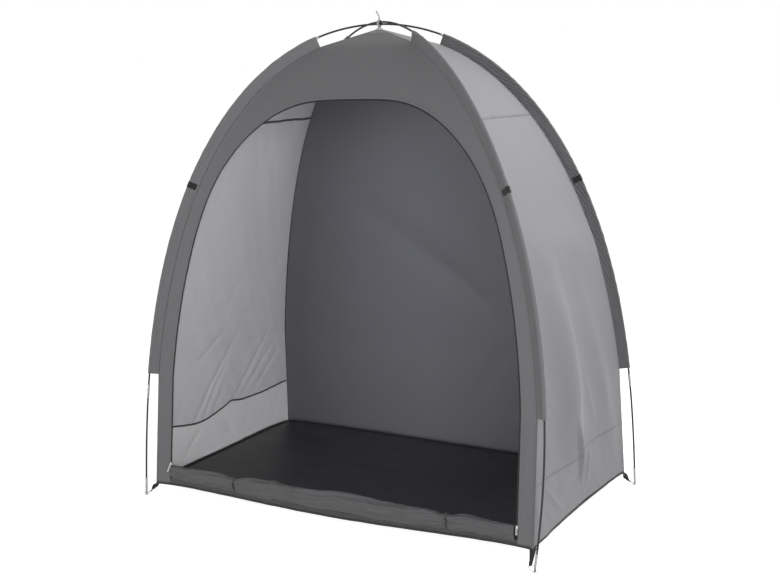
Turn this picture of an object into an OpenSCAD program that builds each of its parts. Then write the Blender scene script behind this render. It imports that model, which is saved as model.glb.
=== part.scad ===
// Bike shelter: a fabric dome on two bent poles that cross above the peak.
// X runs along the front, Y from the front to the back and Z up.
// The origin is the middle of the floor, on the ground.
// Legs and walls are numbered the same way round, seen from above:
// leg 0 front left, 1 front right, 2 back right, 3 back left;
// wall 0 front, 1 right, 2 back, 3 left, each from its own leg to the next one.

/* [Shelter] */
// Length of the cloth at the hem, along the front
length = 1850; // [1540:10:2220]
// Depth of the cloth at the hem, front to back
depth = 1030; // [860:10:1240]
// Height of the lower pole where the poles cross
height = 2050; // [1710:10:2460]
// Height of the hem at the corners
hem_z = 55; // [35:5:80]
// Thickness of the cloth solids, measured down the corner
cloth_t = 6; // [4:0.5:8]
// Gap between neighbouring pieces
gap = 0.3; // [0.2:0.05:0.5]

/* [Pitch] */
// How full the pole arch is at its shoulders
arch_power = 2.4; // [2:0.1:3]
// How far each pole foot stands outside its cloth corner
foot_out = 45; // [40:1:60]
// How far the front right pole foot stands in along its diagonal
front_right_in = 74; // [0:2:90]
// How far each cloth corner stands in along its diagonal, front left one first
corner_in = [0, 56, 0, 25]; // [0:1:70]
// How far each cloth corner is dragged aside, towards the next leg
corner_aside = [0, 20, 0, 0]; // [-20:1:25]
// How far each cloth corner is lifted above the hem's height
corner_up = [0, 20, 0, 0]; // [0:1:30]
// Outward bow of the front left leg
bow_front_left = -30; // [-40:5:60]
// Outward bow of the front right leg
bow_front_right = 100; // [-20:5:110]
// Outward bow of the two back legs
bow_back = -20; // [-40:5:60]
// Inward sag of the front and back walls
long_wall_sag = 14; // [0:1:30]
// Inward sag of the two side walls
side_wall_sag = 18; // [0:1:30]
// Rise of the hem just inside the corners of each wall, front wall first
hem_rise = [20, 26, 24, 22]; // [0:1:35]
// Dip of the hem in the middle of the front wall
front_hem_dip = 26; // [0:1:30]

/* [Poles] */
// Diameter of the rods
pole_d = 8; // [6:0.5:10]
// Diameter of the ferrules and of the foot tips
ferrule_d = 10; // [8.5:0.5:12]
// Length of a ferrule
ferrule_len = 60; // [40:5:80]
// Half the length of the crown section, between the middles of its ferrules
crown_half = 290; // [240:5:320]
// Length of each section below it, between the middles of its ferrules
section_len = 590; // [560:5:600]
// How much higher the last ferrule of each leg sits, front left one first
last_ferrule_up = [0, 130, 0, 0]; // [0:10:150]
// Length of a foot tip
tip_len = 70; // [50:5:90]
// Height of the open end of a foot tip
tip_z = 14; // [13:1:20]

/* [Sleeves] */
// Distance from the rod's middle to the cloth
sleeve_w = 36; // [28:1:48]
// Level of the lower end of each sleeve, front left one first
sleeve_low = [570, 608, 550, 555]; // [400:1:650]
// Level of the upper end of the sleeves, below the crossing
sleeve_top_drop = 51; // [40:1:80]
// Thickness of the sleeve solids round the rod
sleeve_t = 1.6; // [1:0.1:2.5]
// Drop from the crossing to the webbing tab on each sleeve, front left one first
tab_drop = [650, 632, 657, 650]; // [550:1:1050]
// Height of a webbing tab
tab_h = 26; // [16:2:34]
// Thickness of webbing and tape
web_t = 1.6; // [1:0.1:2]

/* [Doorway] */
// Cloth left between the doorway and the front left corner
door_left = 80; // [60:1:140]
// Cloth left between the doorway and the front right corner
door_right = 66; // [60:1:140]
// Drop from the crossing to the top of the doorway
door_drop = 275; // [270:5:550]
// Level where the arch of the doorway starts
door_spring = 1200; // [900:20:1300]
// Height of the sill above the hem
sill_h = 22; // [16:2:40]
// Width of the zip along the doorway
zip_w = 6; // [4:1:10]
// Thickness of the zip
zip_t = 2.4; // [1.6:0.2:4]
// Height of the rolled down door
roll_h = 94; // [60:2:110]
// Thickness of the rolled down door
roll_t = 46; // [30:2:60]
// Share of its size that the roll loses where a tie pinches it
roll_pinch = 0.28; // [0.1:0.02:0.4]
// Width of a tie
tie_w = 8; // [5:1:15]

/* [Side walls] */
// Level of the lower seam, right wall first
seam_low = [318, 284]; // [200:1:450]
// Drop from the crossing to the upper seam, right wall first
seam_high_drop = [360, 380]; // [300:1:750]
// Width of the seam tape
tape_w = 10; // [6:1:20]

/* [Floor and corners] */
// Thickness of the groundsheet
floor_t = 2; // [1.5:0.5:4]
// Width of the rim that climbs from the ground to the hem, along the corner's diagonal
floor_rim = 560; // [460:10:680]
// Height of the hem binding
hem_h = 9; // [6:1:12]
// Thickness of the hem binding
hem_t = 5; // [3:0.5:7]
// Width of a corner strap at the cloth
strap_w = 34; // [28:1:42]
// Width of a corner strap at the ring
strap_end_w = 12; // [10:1:15]
// Thickness of a corner strap
strap_t = 2.4; // [1.6:0.2:3]
// Clearance between the end of a strap and its ring
strap_clear = 0.8; // [0.3:0.1:2]
// Diameter of the wire of the rings and pins
wire_d = 2.6; // [2:0.1:3.2]
// Radius of a corner ring, to the middle of its wire
ring_r = 14.5; // [12:0.5:16]

/* [Peak] */
// Drop from the lower pole to the peak of the cloth
peak_drop = 14; // [8:1:20]
// Width of the tape loop that hangs the peak from the crossing
loop_w = 9; // [6:1:14]
// Length of the loop's free end, above the poles
loop_end = 40; // [20:5:60]

/* [Hidden] */

half_diagonal = norm([length, depth]) / 2;
diagonal_angle = atan2(depth, length);
leg_angle = [180 + diagonal_angle, -diagonal_angle, diagonal_angle, 180 - diagonal_angle];
foot_in = [0, front_right_in, 0, 0];
bow = [bow_front_left, bow_front_right, bow_back, bow_back];
// The pole from front right to back left lies on top of the other one.
lift = [0, pole_d + gap, 0, pole_d + gap];
inward = [[0, 1, 0], [-1, 0, 0], [0, -1, 0], [1, 0, 0]];
wall_sag = [long_wall_sag, side_wall_sag, long_wall_sag, side_wall_sag];
hem_dip = [front_hem_dip, 0, 0, 0];
sleeve_top = height - sleeve_top_drop;
peak_r = 12;
peak_z = height - pole_d / 2 - peak_drop;
tab_level = [for (drop = tab_drop) height - drop];
door_top = height - door_drop;
seam_high = [for (drop = seam_high_drop) height - drop];
// Level above the hem at which the rise of the hem has faded out
hem_fade = 300;
sides = 8;

// ---- Poles, in the upright plane of one leg: [distance from the middle, height] ----

// A leg point, from a turn of 0 at the crown to 90 at the ground
function leg_share(turn) = pow(max(cos(turn), 0), 2 / arch_power);
function leg_point(leg, turn) =
    let (share = leg_share(turn))
    [
        (half_diagonal + foot_out - foot_in[leg]) * sin(turn) + 4 * bow[leg] * share * (1 - share),
        (height + lift[leg]) * share
    ];
// The turn at which a leg reaches a level
function level_turn(level) = acos(pow(min(max(level / height, 0), 1), arch_power / 2));
function unit(v) = v / norm(v);
// Direction up a leg, as a unit vector
function leg_up(leg, turn) = unit(leg_point(leg, turn - 0.2) - leg_point(leg, turn + 0.2));
// Turned a quarter clockwise: out from the leg
function out_of(up) = [up[1], -up[0]];
// Running length down a leg from the crown, against the turn
turn_step = 1.5;
leg_steps = round(90 / turn_step);
leg_run = [
    for (leg = [0:3])
        let (points = [for (k = [0:leg_steps]) leg_point(leg, k * turn_step)])
        [
            for (k = 0, run = 0; k <= leg_steps;
                run = run + (k < leg_steps ? norm(points[k + 1] - points[k]) : 0), k = k + 1)
                [run, k * turn_step]
        ]
];
function run_turn(leg, run) = lookup(run, leg_run[leg]);

// Ends of a foot tip
function tip_low(leg) = leg_point(leg, level_turn(tip_z));
function tip_up(leg) = unit(leg_point(leg, level_turn(tip_z + tip_len)) - tip_low(leg));
function tip_high(leg) = tip_low(leg) + tip_up(leg) * tip_len;
tip_turn = level_turn(tip_z + tip_len);

// Middles of the ferrules, as running lengths from the crown
ferrule_runs = [
    for (leg = [0:3])
        [for (k = [0:3]) crown_half + k * section_len - (k == 3 ? last_ferrule_up[leg] : 0)]
];
function ferrule_point(leg, run) = leg_point(leg, run_turn(leg, run));
function ferrule_low(leg, run) = ferrule_point(leg, run + ferrule_len / 2);
function ferrule_high(leg, run) = ferrule_point(leg, run - ferrule_len / 2);
function ferrule_up(leg, run) = unit(ferrule_high(leg, run) - ferrule_low(leg, run));

// Stations of one section: [point, up], from its lower end to its upper end
section_rings = 6;
function section_stations(leg, k) =
    let (
        last = k == len(ferrule_runs[leg]) - 1,
        top_run = ferrule_runs[leg][k],
        low_run = last ? 0 : ferrule_runs[leg][k + 1],
        start_turn = last ? tip_turn : run_turn(leg, low_run - ferrule_len / 2),
        end_turn = run_turn(leg, top_run + ferrule_len / 2),
        start_up = last ? tip_up(leg) : ferrule_up(leg, low_run),
        end_up = ferrule_up(leg, top_run),
        start = last ? tip_high(leg) : ferrule_high(leg, low_run),
        end = ferrule_low(leg, top_run)
    )
    [
        [start + start_up * gap, start_up],
        for (j = [1:section_rings - 1])
            let (turn = start_turn + (end_turn - start_turn) * j / section_rings)
            [leg_point(leg, turn), leg_up(leg, turn)],
        [end - end_up * gap, end_up]
    ];
// Stations of a crown section, from one leg over the top to the opposite leg
function crown_stations(leg) =
    let (
        other = leg + 2,
        half = [
            for (j = [1:section_rings - 1])
                let (turn = run_turn(leg, crown_half - ferrule_len / 2) * (1 - j / section_rings))
                [leg_point(leg, turn), leg_up(leg, turn)]
        ],
        far = [
            for (j = [section_rings - 1:-1:1])
                let (turn = run_turn(other, crown_half - ferrule_len / 2) * (1 - j / section_rings))
                let (p = leg_point(other, turn), up = leg_up(other, turn))
                [[-p[0], p[1]], [up[0], -up[1]]]
        ],
        near_up = ferrule_up(leg, crown_half),
        far_up = ferrule_up(other, crown_half),
        near_end = ferrule_high(leg, crown_half) + near_up * gap,
        far_end = ferrule_high(other, crown_half) + far_up * gap
    )
    concat(
        [[near_end, near_up]],
        half,
        [[[0, height + lift[leg]], [-1, 0]]],
        far,
        [[[-far_end[0], far_end[1]], [far_up[0], -far_up[1]]]]
    );

// ---- Cloth surfaces ----

// A pole point moved towards the inside by a distance square to the pole
function inside_pole(leg, level, by) =
    let (turn = level_turn(level))
    leg_point(leg, turn) - out_of(leg_up(leg, turn)) * by;
// The cloth corner at a level, a given depth below its outer face
function corner_point(leg, level, deep) =
    let (by = sleeve_w + deep, low = sleeve_low[leg])
    level <= low
        ? let (
            foot = [half_diagonal - corner_in[leg] - deep, hem_z + corner_up[leg]],
            share = (level - hem_z) / (low - hem_z)
        ) foot + (inside_pole(leg, low, by) - foot) * share
        : level <= sleeve_top
            ? inside_pole(leg, level, by)
            : let (
                start = inside_pole(leg, sleeve_top, by),
                share = (level - sleeve_top) / sleeve_top_drop
            ) start + ([peak_r, peak_z - deep] - start) * share;
// How far aside the cloth corner is dragged at a level
function aside(leg, level) =
    corner_aside[leg] * max(0, 1 - (level - hem_z) / (sleeve_low[leg] - hem_z));
function to_space(leg, p, side = 0) =
    let (c = cos(leg_angle[leg]), s = sin(leg_angle[leg]))
    [p[0] * c - side * s, p[0] * s + side * c, p[1]];
function corner_space(leg, level, deep) = to_space(leg, corner_point(leg, level, deep), aside(leg, level));
// A point of a wall: across from 0 at its own leg to 1 at the next one
function wall_point(wall, across, level, deep) =
    let (
        a = corner_space(wall, level, deep),
        b = corner_space((wall + 1) % 4, level, deep),
        sag = wall_sag[wall] * 4 * across * (1 - across) * sin(180 * level / height),
        fade = max(0, 1 - (level - hem_z) / hem_fade),
        spread = 4 * across * (1 - across),
        rise = (hem_rise[wall] * pow(spread, 0.25) - hem_dip[wall] * pow(spread, 2)) * fade
    )
    a + (b - a) * across + inward[wall] * sag + [0, 0, rise];

// Edge of the doorway as [across, level], from the left spring over the top to the right
door_from = door_left / length;
door_to = 1 - door_right / length;
door_middle = (door_from + door_to) / 2;
door_half = (door_to - door_from) / 2;
function door_edge(turn, by) =
    [
        door_middle - (door_half - by / length) * sign(cos(turn)) * pow(abs(cos(turn)), 0.5),
        door_spring + (door_top - by - door_spring) * pow(sin(turn), 0.65)
    ];

// ---- Solids from two grids of points ----

// Triangles of a shell whose first grid faces outwards, rows up and columns to the right
function shell_faces(rows, cols, closed) =
    let (
        last = closed ? cols - 1 : cols - 2,
        v = function (j, k, layer) layer * rows * cols + j * cols + k % cols
    )
    [
        for (j = [0:rows - 2], k = [0:last])
            each [
                [v(j, k, 0), v(j + 1, k, 0), v(j + 1, k + 1, 0)],
                [v(j, k, 0), v(j + 1, k + 1, 0), v(j, k + 1, 0)],
                [v(j, k, 1), v(j + 1, k + 1, 1), v(j + 1, k, 1)],
                [v(j, k, 1), v(j, k + 1, 1), v(j + 1, k + 1, 1)]
            ],
        for (k = [0:last])
            each [
                [v(0, k, 0), v(0, k + 1, 0), v(0, k + 1, 1)],
                [v(0, k, 0), v(0, k + 1, 1), v(0, k, 1)],
                [v(rows - 1, k + 1, 0), v(rows - 1, k, 0), v(rows - 1, k, 1)],
                [v(rows - 1, k + 1, 0), v(rows - 1, k, 1), v(rows - 1, k + 1, 1)]
            ],
        if (!closed)
            for (j = [0:rows - 2])
                each [
                    [v(j + 1, 0, 0), v(j, 0, 0), v(j, 0, 1)],
                    [v(j + 1, 0, 0), v(j, 0, 1), v(j + 1, 0, 1)],
                    [v(j, cols - 1, 0), v(j + 1, cols - 1, 0), v(j + 1, cols - 1, 1)],
                    [v(j, cols - 1, 0), v(j + 1, cols - 1, 1), v(j, cols - 1, 1)]
                ]
    ];
// A shell between two grids of rows of points
module shell(outer, inner, closed = false) {
    points = [for (row = outer) each row, for (row = inner) each row];
    polyhedron(points, shell_faces(len(outer), len(outer[0]), closed));
}
// A wall piece on a grid of [across, level], between two depths
module wall_shell(wall, grid, deep_out, deep_in) {
    shell(
        [for (row = grid) [for (q = row) wall_point(wall, q[0], q[1], deep_out)]],
        [for (row = grid) [for (q = row) wall_point(wall, q[0], q[1], deep_in)]]
    );
}
// Places across a wall that its pieces share, close together near the corners
end_stops = [0, 0.02, 0.05, 0.1, 0.15];
stops = concat(end_stops, [for (k = [0:8]) 0.2 + 0.6 * k / 8], [for (k = [4:-1:0]) 1 - end_stops[k]]);
// Pieces on one wall stop this share of its width short of their neighbours round the corner
wall_edge = gap / depth;
// A straight band of a wall between two levels
module wall_band(wall, low, high, rows) {
    wall_shell(
        wall,
        [
            for (j = [0:rows])
                [for (stop = stops) [wall_edge + (1 - 2 * wall_edge) * stop, low + (high - low) * j / rows]]
        ],
        0,
        cloth_t
    );
}

// ---- Solids swept in the plane of a leg ----

// A section point at a station: out from the leg, across it
function at_station(station, q) =
    let (p = station[0] + out_of(station[1]) * q[0])
    [p[0], q[1], p[1]];
// A closed section swept through stations that run upwards
module sweep(stations, section) {
    rows = len(stations);
    cols = len(section);
    points = [for (s = stations) for (q = section) at_station(s, q)];
    faces = [
        [for (k = [0:cols - 1]) k],
        [for (k = [cols - 1:-1:0]) (rows - 1) * cols + k],
        for (j = [0:rows - 2], k = [0:cols - 1])
            let (k2 = (k + 1) % cols)
            each [
                [j * cols + k, (j + 1) * cols + k, (j + 1) * cols + k2],
                [j * cols + k, (j + 1) * cols + k2, j * cols + k2]
            ]
    ];
    polyhedron(points, faces);
}
function circle_points(radius, count) =
    [for (k = [0:count - 1]) [radius * cos(360 * k / count), radius * sin(360 * k / count)]];
// Places children, drawn in the plane of a leg, where that leg stands
module on_leg(leg) {
    rotate([0, 0, leg_angle[leg]]) children();
}
// A straight rod or tube along a leg
module along(point, up, long, radius, bore = 0) {
    translate([point[0], 0, point[1]])
        rotate([0, atan2(up[0], up[1]), 0])
            difference() {
                cylinder(h = long, r = radius, $fn = 32);
                if (bore > 0)
                    translate([0, 0, -1]) cylinder(h = long + 2, r = bore, $fn = 32);
            }
}

// ---- Pieces ----

module pole_crown(leg) {
    color("#2b2b2d") on_leg(leg) sweep(crown_stations(leg), circle_points(pole_d / 2, sides));
}
module leg_pole(leg) {
    color("#2b2b2d")
        on_leg(leg)
            for (k = [0:len(ferrule_runs[leg]) - 1])
                sweep(section_stations(leg, k), circle_points(pole_d / 2, sides));
}
// Ferrules and foot tip: a tip is open below for the pin
module leg_ferrules(leg) {
    color("#b4b6b8")
        on_leg(leg) {
            for (run = ferrule_runs[leg])
                let (low = ferrule_low(leg, run), high = ferrule_high(leg, run))
                along(low, ferrule_up(leg, run), norm(high - low), ferrule_d / 2);
            along(tip_low(leg), tip_up(leg), tip_len, ferrule_d / 2, wire_d / 2 + gap);
        }
}

// A sleeve: a flat doubled band that carries the pole in a channel along its outer edge
channel_clear = 0.9;
channel_r = max(ferrule_d / 2, pole_d / 2 + 1) + channel_clear;
sleeve_r = channel_r + sleeve_t;
// Half the thickness of the doubled band between the channel and the wall
band_half = 1.6;
function sleeve_section(r, seam, half_t) =
    [
        for (a = [0, 45, 90, 125]) [r * cos(a), r * sin(a)],
        [seam, half_t],
        [seam, -half_t],
        for (a = [235, 270, 315]) [r * cos(a), r * sin(a)]
    ];
sleeve_rings = 24;
function sleeve_stations(leg) =
    let (start = level_turn(sleeve_low[leg]), end = level_turn(sleeve_top))
    [
        for (j = [0:sleeve_rings])
            let (turn = start + (end - start) * j / sleeve_rings)
            [leg_point(leg, turn), leg_up(leg, turn)]
    ];
module leg_sleeve(leg) {
    stations = sleeve_stations(leg);
    outer = sleeve_section(sleeve_r, gap - sleeve_w, band_half);
    inner = circle_points(channel_r, len(outer));
    color("#5f5f61")
        on_leg(leg)
            shell(
                [for (s = stations) [for (q = outer) at_station(s, q)]],
                [for (s = stations) [for (q = inner) at_station(s, q)]],
                true
            );
}
// Webbing tabs folded round the sleeves, open along the seam with the wall
tab_clear = 0.8;
tab_seam = 4;
module sleeve_tabs() {
    arc = [-125, -90, -45, 0, 45, 90, 125];
    section = function (radius, half)
        [
            [tab_seam - sleeve_w, -half],
            for (a = arc) [radius * cos(a), radius * sin(a)],
            [tab_seam - sleeve_w, half]
        ];
    inner = section(sleeve_r + tab_clear, band_half + tab_clear);
    outer = section(sleeve_r + tab_clear + web_t, band_half + tab_clear + web_t);
    color("#2d2d2f")
        for (leg = [0:3])
            let (
                turn = level_turn(tab_level[leg]),
                point = leg_point(leg, turn),
                up = leg_up(leg, turn),
                stations = [for (side = [-1, 1]) [point + up * side * tab_h / 2, up]]
            )
            on_leg(leg)
                shell(
                    [for (s = stations) [for (q = outer) at_station(s, q)]],
                    [for (s = stations) [for (q = inner) at_station(s, q)]]
                );
}

// Corner rings, pins and straps: the ring passes through the eye of the pin
eye_r = 5;
pin_len = 48;
eye_z = eye_r + wire_d / 2;
function eye_point(leg) = tip_low(leg) - tip_up(leg) * (tip_z - eye_z) / tip_up(leg)[1];
ring_tilt = 32;
module corner_ring(leg) {
    eye = eye_point(leg);
    color("#a9abad")
        on_leg(leg)
            translate([eye[0], 0, eye[1]])
                rotate([0, ring_tilt, 0])
                    translate([-ring_r, 0, 0])
                        rotate_extrude($fn = 48)
                            translate([ring_r, 0]) circle(d = wire_d, $fn = 16);
}
module corner_pin(leg) {
    eye = eye_point(leg);
    up = tip_up(leg);
    color("#a9abad")
        on_leg(leg) {
            translate([eye[0], 0, eye[1]])
                rotate([90, 0, 0])
                    rotate_extrude($fn = 40)
                        translate([eye_r, 0]) circle(d = wire_d, $fn = 16);
            along(eye + up * eye_r, up, pin_len, wire_d / 2);
        }
}
module corner_straps() {
    color("#1b1b1d")
        for (leg = [0:3])
            let (
                eye = eye_point(leg),
                reach = 2 * ring_r + wire_d / 2 + strap_clear,
                low = eye + [-cos(ring_tilt), sin(ring_tilt)] * reach,
                high = [half_diagonal - corner_in[leg] - 1, hem_z + corner_up[leg] - hem_h - 2 * gap],
                end = [low[0], 0, low[1]],
                start = [high[0], corner_aside[leg], high[1]],
                run = unit(end - start),
                thick = [-run[2], 0, run[0]] * strap_t / 2 / norm([run[0], run[2]]),
                point = function (p, side, w) p + thick * side + [0, w, 0]
            )
            on_leg(leg)
                polyhedron(
                    [
                        point(start, -1, -strap_w / 2), point(start, -1, strap_w / 2),
                        point(start, 1, strap_w / 2), point(start, 1, -strap_w / 2),
                        point(end, -1, -strap_end_w / 2), point(end, -1, strap_end_w / 2),
                        point(end, 1, strap_end_w / 2), point(end, 1, -strap_end_w / 2)
                    ],
                    [[0, 1, 2, 3], [7, 6, 5, 4], [0, 4, 5, 1], [1, 5, 6, 2], [2, 6, 7, 3], [3, 7, 4, 0]]
                );
}

// Front wall: two jambs, a top panel over the arch and a sill
// Levels that the jambs share with the zip, which starts part way up the roll
zip_roll_share = 0.6;
zip_low = hem_z + sill_h + roll_h * zip_roll_share;
zip_rows = 7;
zip_levels = [for (j = [0:zip_rows]) zip_low + (door_spring - gap - zip_low) * j / zip_rows];
module front_jamb(right) {
    from = right ? door_to : wall_edge;
    to = right ? 1 - wall_edge : door_from;
    color("#69696b")
        wall_shell(
            0,
            [
                for (level = concat([hem_z], zip_levels))
                    [for (k = [0:2]) [from + (to - from) * k / 2, level]]
            ],
            0,
            cloth_t
        );
}
top_cols = 24;
top_rows = 5;
// Outer edge of the top panel, matched to the arch of the doorway
function top_edge(turn) =
    let (side_turn = 65)
    turn < side_turn
        ? [wall_edge, door_spring + (height - door_spring) * turn / side_turn]
        : turn > 180 - side_turn
            ? [1 - wall_edge, door_spring + (height - door_spring) * (180 - turn) / side_turn]
            : [(turn - side_turn) / (180 - 2 * side_turn), height];
module front_top_panel() {
    color("#69696b")
        wall_shell(
            0,
            [
                for (j = [0:top_rows])
                    [
                        for (k = [0:top_cols])
                            let (turn = 180 * k / top_cols, low = door_edge(turn, 0))
                            low + (top_edge(turn) - low) * j / top_rows
                    ]
            ],
            0,
            cloth_t
        );
}
module front_sill() {
    edge = gap / length;
    from = door_from + edge;
    to = door_to - edge;
    places = [from, for (stop = stops) if (stop > from && stop < to) stop, to];
    color("#5a5a5c")
        wall_shell(
            0,
            [for (level = [hem_z, hem_z + sill_h]) [for (across = places) [across, level]]],
            0,
            cloth_t
        );
}
// Zip along both sides and over the arch, between the middle depths of the cloth
module door_zip() {
    deep = (cloth_t - zip_t) / 2;
    path = function (by)
        [
            for (j = [0:zip_rows - 1]) [door_from + by / length, zip_levels[j]],
            for (k = [0:top_cols]) door_edge(180 * k / top_cols, by),
            for (j = [zip_rows - 1:-1:0]) [door_to - by / length, zip_levels[j]]
        ];
    color("#3a3a3c") wall_shell(0, [path(gap + zip_w), path(gap)], deep, deep + zip_t);
}
// A slider with its pull hangs in front of the cloth at each end of the zip
slider = [8, 4, 14];
pull = [5, 2, 33];
module zip_pulls() {
    color("#c9cacb")
        for (side = [-1, 1])
            let (
                across = door_middle + side * (door_half + zip_w / length),
                edge = wall_point(0, across, zip_low, 0),
                lean = edge - wall_point(0, across, zip_low - pull[2], 0)
            )
            translate(edge)
                rotate([-atan2(lean[1], lean[2]), 0, 0]) {
                    translate([-slider[0] / 2, -slider[1] - gap, -slider[2] / 2]) cube(slider);
                    translate([-pull[0] / 2, -slider[1], -slider[2] / 2 - pull[2] + 1]) cube(pull);
                }
}
// The door, rolled down and tied along the sill
roll_from = door_from + (zip_w + 3) / length;
roll_to = door_to - (zip_w + 3) / length;
tie_across = [0.24, 0.8];
pinch_reach = 37;
// Share of the full roll at a place: slimmer at the ends, pinched at the ties
function roll_size(across) =
    let (
        share = min(max((across - roll_from) / (roll_to - roll_from), 0.02), 0.98),
        pinch = max([for (t = tie_across) exp(-pow((across - t) * length / pinch_reach, 2))])
    )
    (1 - roll_pinch * pinch) * pow(sin(180 * share), 0.25);
// Stops along the roll: close together at the ties, evenly spread between them
function spread(a, b, n) = [for (k = [1:n - 1]) a + (b - a) * k / n];
function pinch_stops(t) = [for (k = [-4:4]) t + k * pinch_reach / 2 / length];
pinch_share = 2 * pinch_reach / length;
roll_stops = concat(
    [roll_from],
    spread(roll_from, tie_across[0] - pinch_share, 5),
    pinch_stops(tie_across[0]),
    spread(tie_across[0] + pinch_share, tie_across[1] - pinch_share, 9),
    pinch_stops(tie_across[1]),
    spread(tie_across[1] + pinch_share, roll_to, 5),
    [roll_to]
);
module door_roll() {
    cols = 12;
    last = len(roll_stops) - 1;
    points = [
        for (across = roll_stops)
            let (
                base = wall_point(0, across, hem_z + sill_h, cloth_t / 2),
                tall = roll_h * roll_size(across),
                wide = roll_t * roll_size(across)
            )
            for (k = [0:cols - 1])
                let (a = 360 * k / cols)
                base + [0, sin(a) * wide / 2, gap + tall * (1 - cos(a)) / 2]
    ];
    color("#5c5c5e")
        polyhedron(
            points,
            [
                [for (k = [cols - 1:-1:0]) k],
                [for (k = [0:cols - 1]) last * cols + k],
                for (j = [0:last - 1], k = [0:cols - 1])
                    let (k2 = (k + 1) % cols)
                    each [
                        [j * cols + k, (j + 1) * cols + k2, (j + 1) * cols + k],
                        [j * cols + k, j * cols + k2, (j + 1) * cols + k2]
                    ]
            ]
        );
}
// A tie round the roll at each pinch, with its toggle in front
tie_clear = 1.2;
toggle_d = 9;
toggle_len = 24;
module door_ties() {
    color("#2c2c2e")
        for (across = tie_across)
            let (
                base = wall_point(0, across, hem_z + sill_h, cloth_t / 2),
                half_wide = roll_t * roll_size(across) / 2,
                half_tall = roll_h * roll_size(across) / 2,
                ring = function (by, turns)
                    [
                        for (a = turns)
                            [sin(a) * (half_wide + by), half_tall - cos(a) * (half_tall + by)]
                    ]
            )
            translate([base[0] - tie_w / 2, base[1], base[2] + gap]) {
                rotate([90, 0, 90])
                    linear_extrude(tie_w)
                        polygon(concat(
                            ring(tie_clear + web_t, [30:20:330]),
                            ring(tie_clear, [330:-20:30])
                        ));
                translate([tie_w / 2, -half_wide - toggle_d / 2 - tie_clear, half_tall - toggle_len / 2])
                    cylinder(h = toggle_len, d = toggle_d, $fn = 24);
            }
}

// Side walls in three bands, with tape along the seams inside
function seams(wall) = let (k = wall == 1 ? 0 : 1) [seam_low[k], seam_high[k]];
module side_panel(wall, band) {
    levels = seams(wall);
    low = [hem_z, levels[0] + gap / 2, levels[1] + gap / 2][band];
    high = [levels[0] - gap / 2, levels[1] - gap / 2, height][band];
    color("#a0a0a2") wall_band(wall, low, high, [3, 8, 5][band]);
}
module back_panel(upper) {
    low = upper ? door_spring + gap / 2 : hem_z;
    high = upper ? height : door_spring - gap / 2;
    color("#5b5c61") wall_band(2, low, high, upper ? 9 : 6);
}
tape_end = 0.012;
tape_gap = 2.5 * gap;
module side_seam_tapes() {
    color("#4a4a4d")
        for (wall = [1, 3], seam = seams(wall))
            wall_shell(
                wall,
                [
                    for (level = [seam - tape_w / 2, seam + tape_w / 2])
                        [for (stop = stops) [tape_end + (1 - 2 * tape_end) * stop, level]]
                ],
                cloth_t + tape_gap,
                cloth_t + tape_gap + web_t
            );
}

// Hem line all the way round
hem_stops = [for (stop = stops) if (stop < 1) stop];
function hem_loop(deep, drop) =
    [for (wall = [0:3], stop = hem_stops) wall_point(wall, stop, hem_z, deep) - [0, 0, drop]];
module hem_binding() {
    color("#2f2f31")
        shell(
            [hem_loop(0, hem_h + gap), hem_loop(0, gap)],
            [hem_loop(hem_t * 2, hem_h + gap), hem_loop(hem_t * 2, gap)],
            true
        );
}
// The floor lies flat in the middle, and a flap on each side climbs from it to the hem
rim_start = hem_t * 2 + 2 * gap;
function floor_point(wall, stop, by, z) =
    let (p = wall_point(wall, stop, hem_z, rim_start + by))
    [p[0], p[1], z * p[2] / hem_z];
// The flaps bend up a little more steeply towards the hem
rim_shares = [1, 0.8, 0.55, 0.28, 0];
rim_bend = 1.15;
module groundsheet_rim() {
    color("#2a2a2c")
        for (wall = [0:3])
            let (
                rows = [
                    for (share = rim_shares)
                        let (z = (hem_z - hem_h) * pow(1 - share, rim_bend))
                        [
                            for (stop = stops)
                                floor_point(wall, wall_edge + (1 - 2 * wall_edge) * stop, floor_rim * share, z)
                        ]
                ]
            )
            shell(rows, [for (row = rows) [for (p = row) p + [0, 0, floor_t]]]);
}
module groundsheet() {
    color("#2a2a2c")
        linear_extrude(floor_t)
            polygon([
                for (wall = [0:3], stop = hem_stops)
                    let (p = floor_point(wall, stop, floor_rim + 2 * gap, 0))
                    [p[0], p[1]]
            ]);
}

// Patch over the peak, the tape loop that hangs it from the crossing, and the loop's free end
loop_in = [pole_d * 2.7, pole_d * 2 + peak_drop + 1];
loop_lean = 14;
patch_lap = 2;
module peak_loop() {
    patch = 2 * [peak_r * cos(diagonal_angle) + patch_lap, peak_r * sin(diagonal_angle) + patch_lap];
    patch_z = peak_z + gap;
    loop_z = patch_z + web_t;
    color("#8c8c8e") {
        translate([-patch[0] / 2, -patch[1] / 2, patch_z]) cube([patch[0], patch[1], web_t]);
        translate([-loop_w / 2, 0, loop_z])
            rotate([90, 0, 90])
                linear_extrude(loop_w)
                    difference() {
                        translate([-loop_in[0] / 2 - web_t, -web_t])
                            square([loop_in[0] + 2 * web_t, loop_in[1] + 2 * web_t]);
                        translate([-loop_in[0] / 2, 0]) square(loop_in);
                    }
        translate([0, 0, loop_z + loop_in[1]])
            rotate([0, -loop_lean, 0])
                translate([-web_t, -loop_w / 2, 0]) cube([2 * web_t, loop_w, loop_end]);
    }
}

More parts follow.
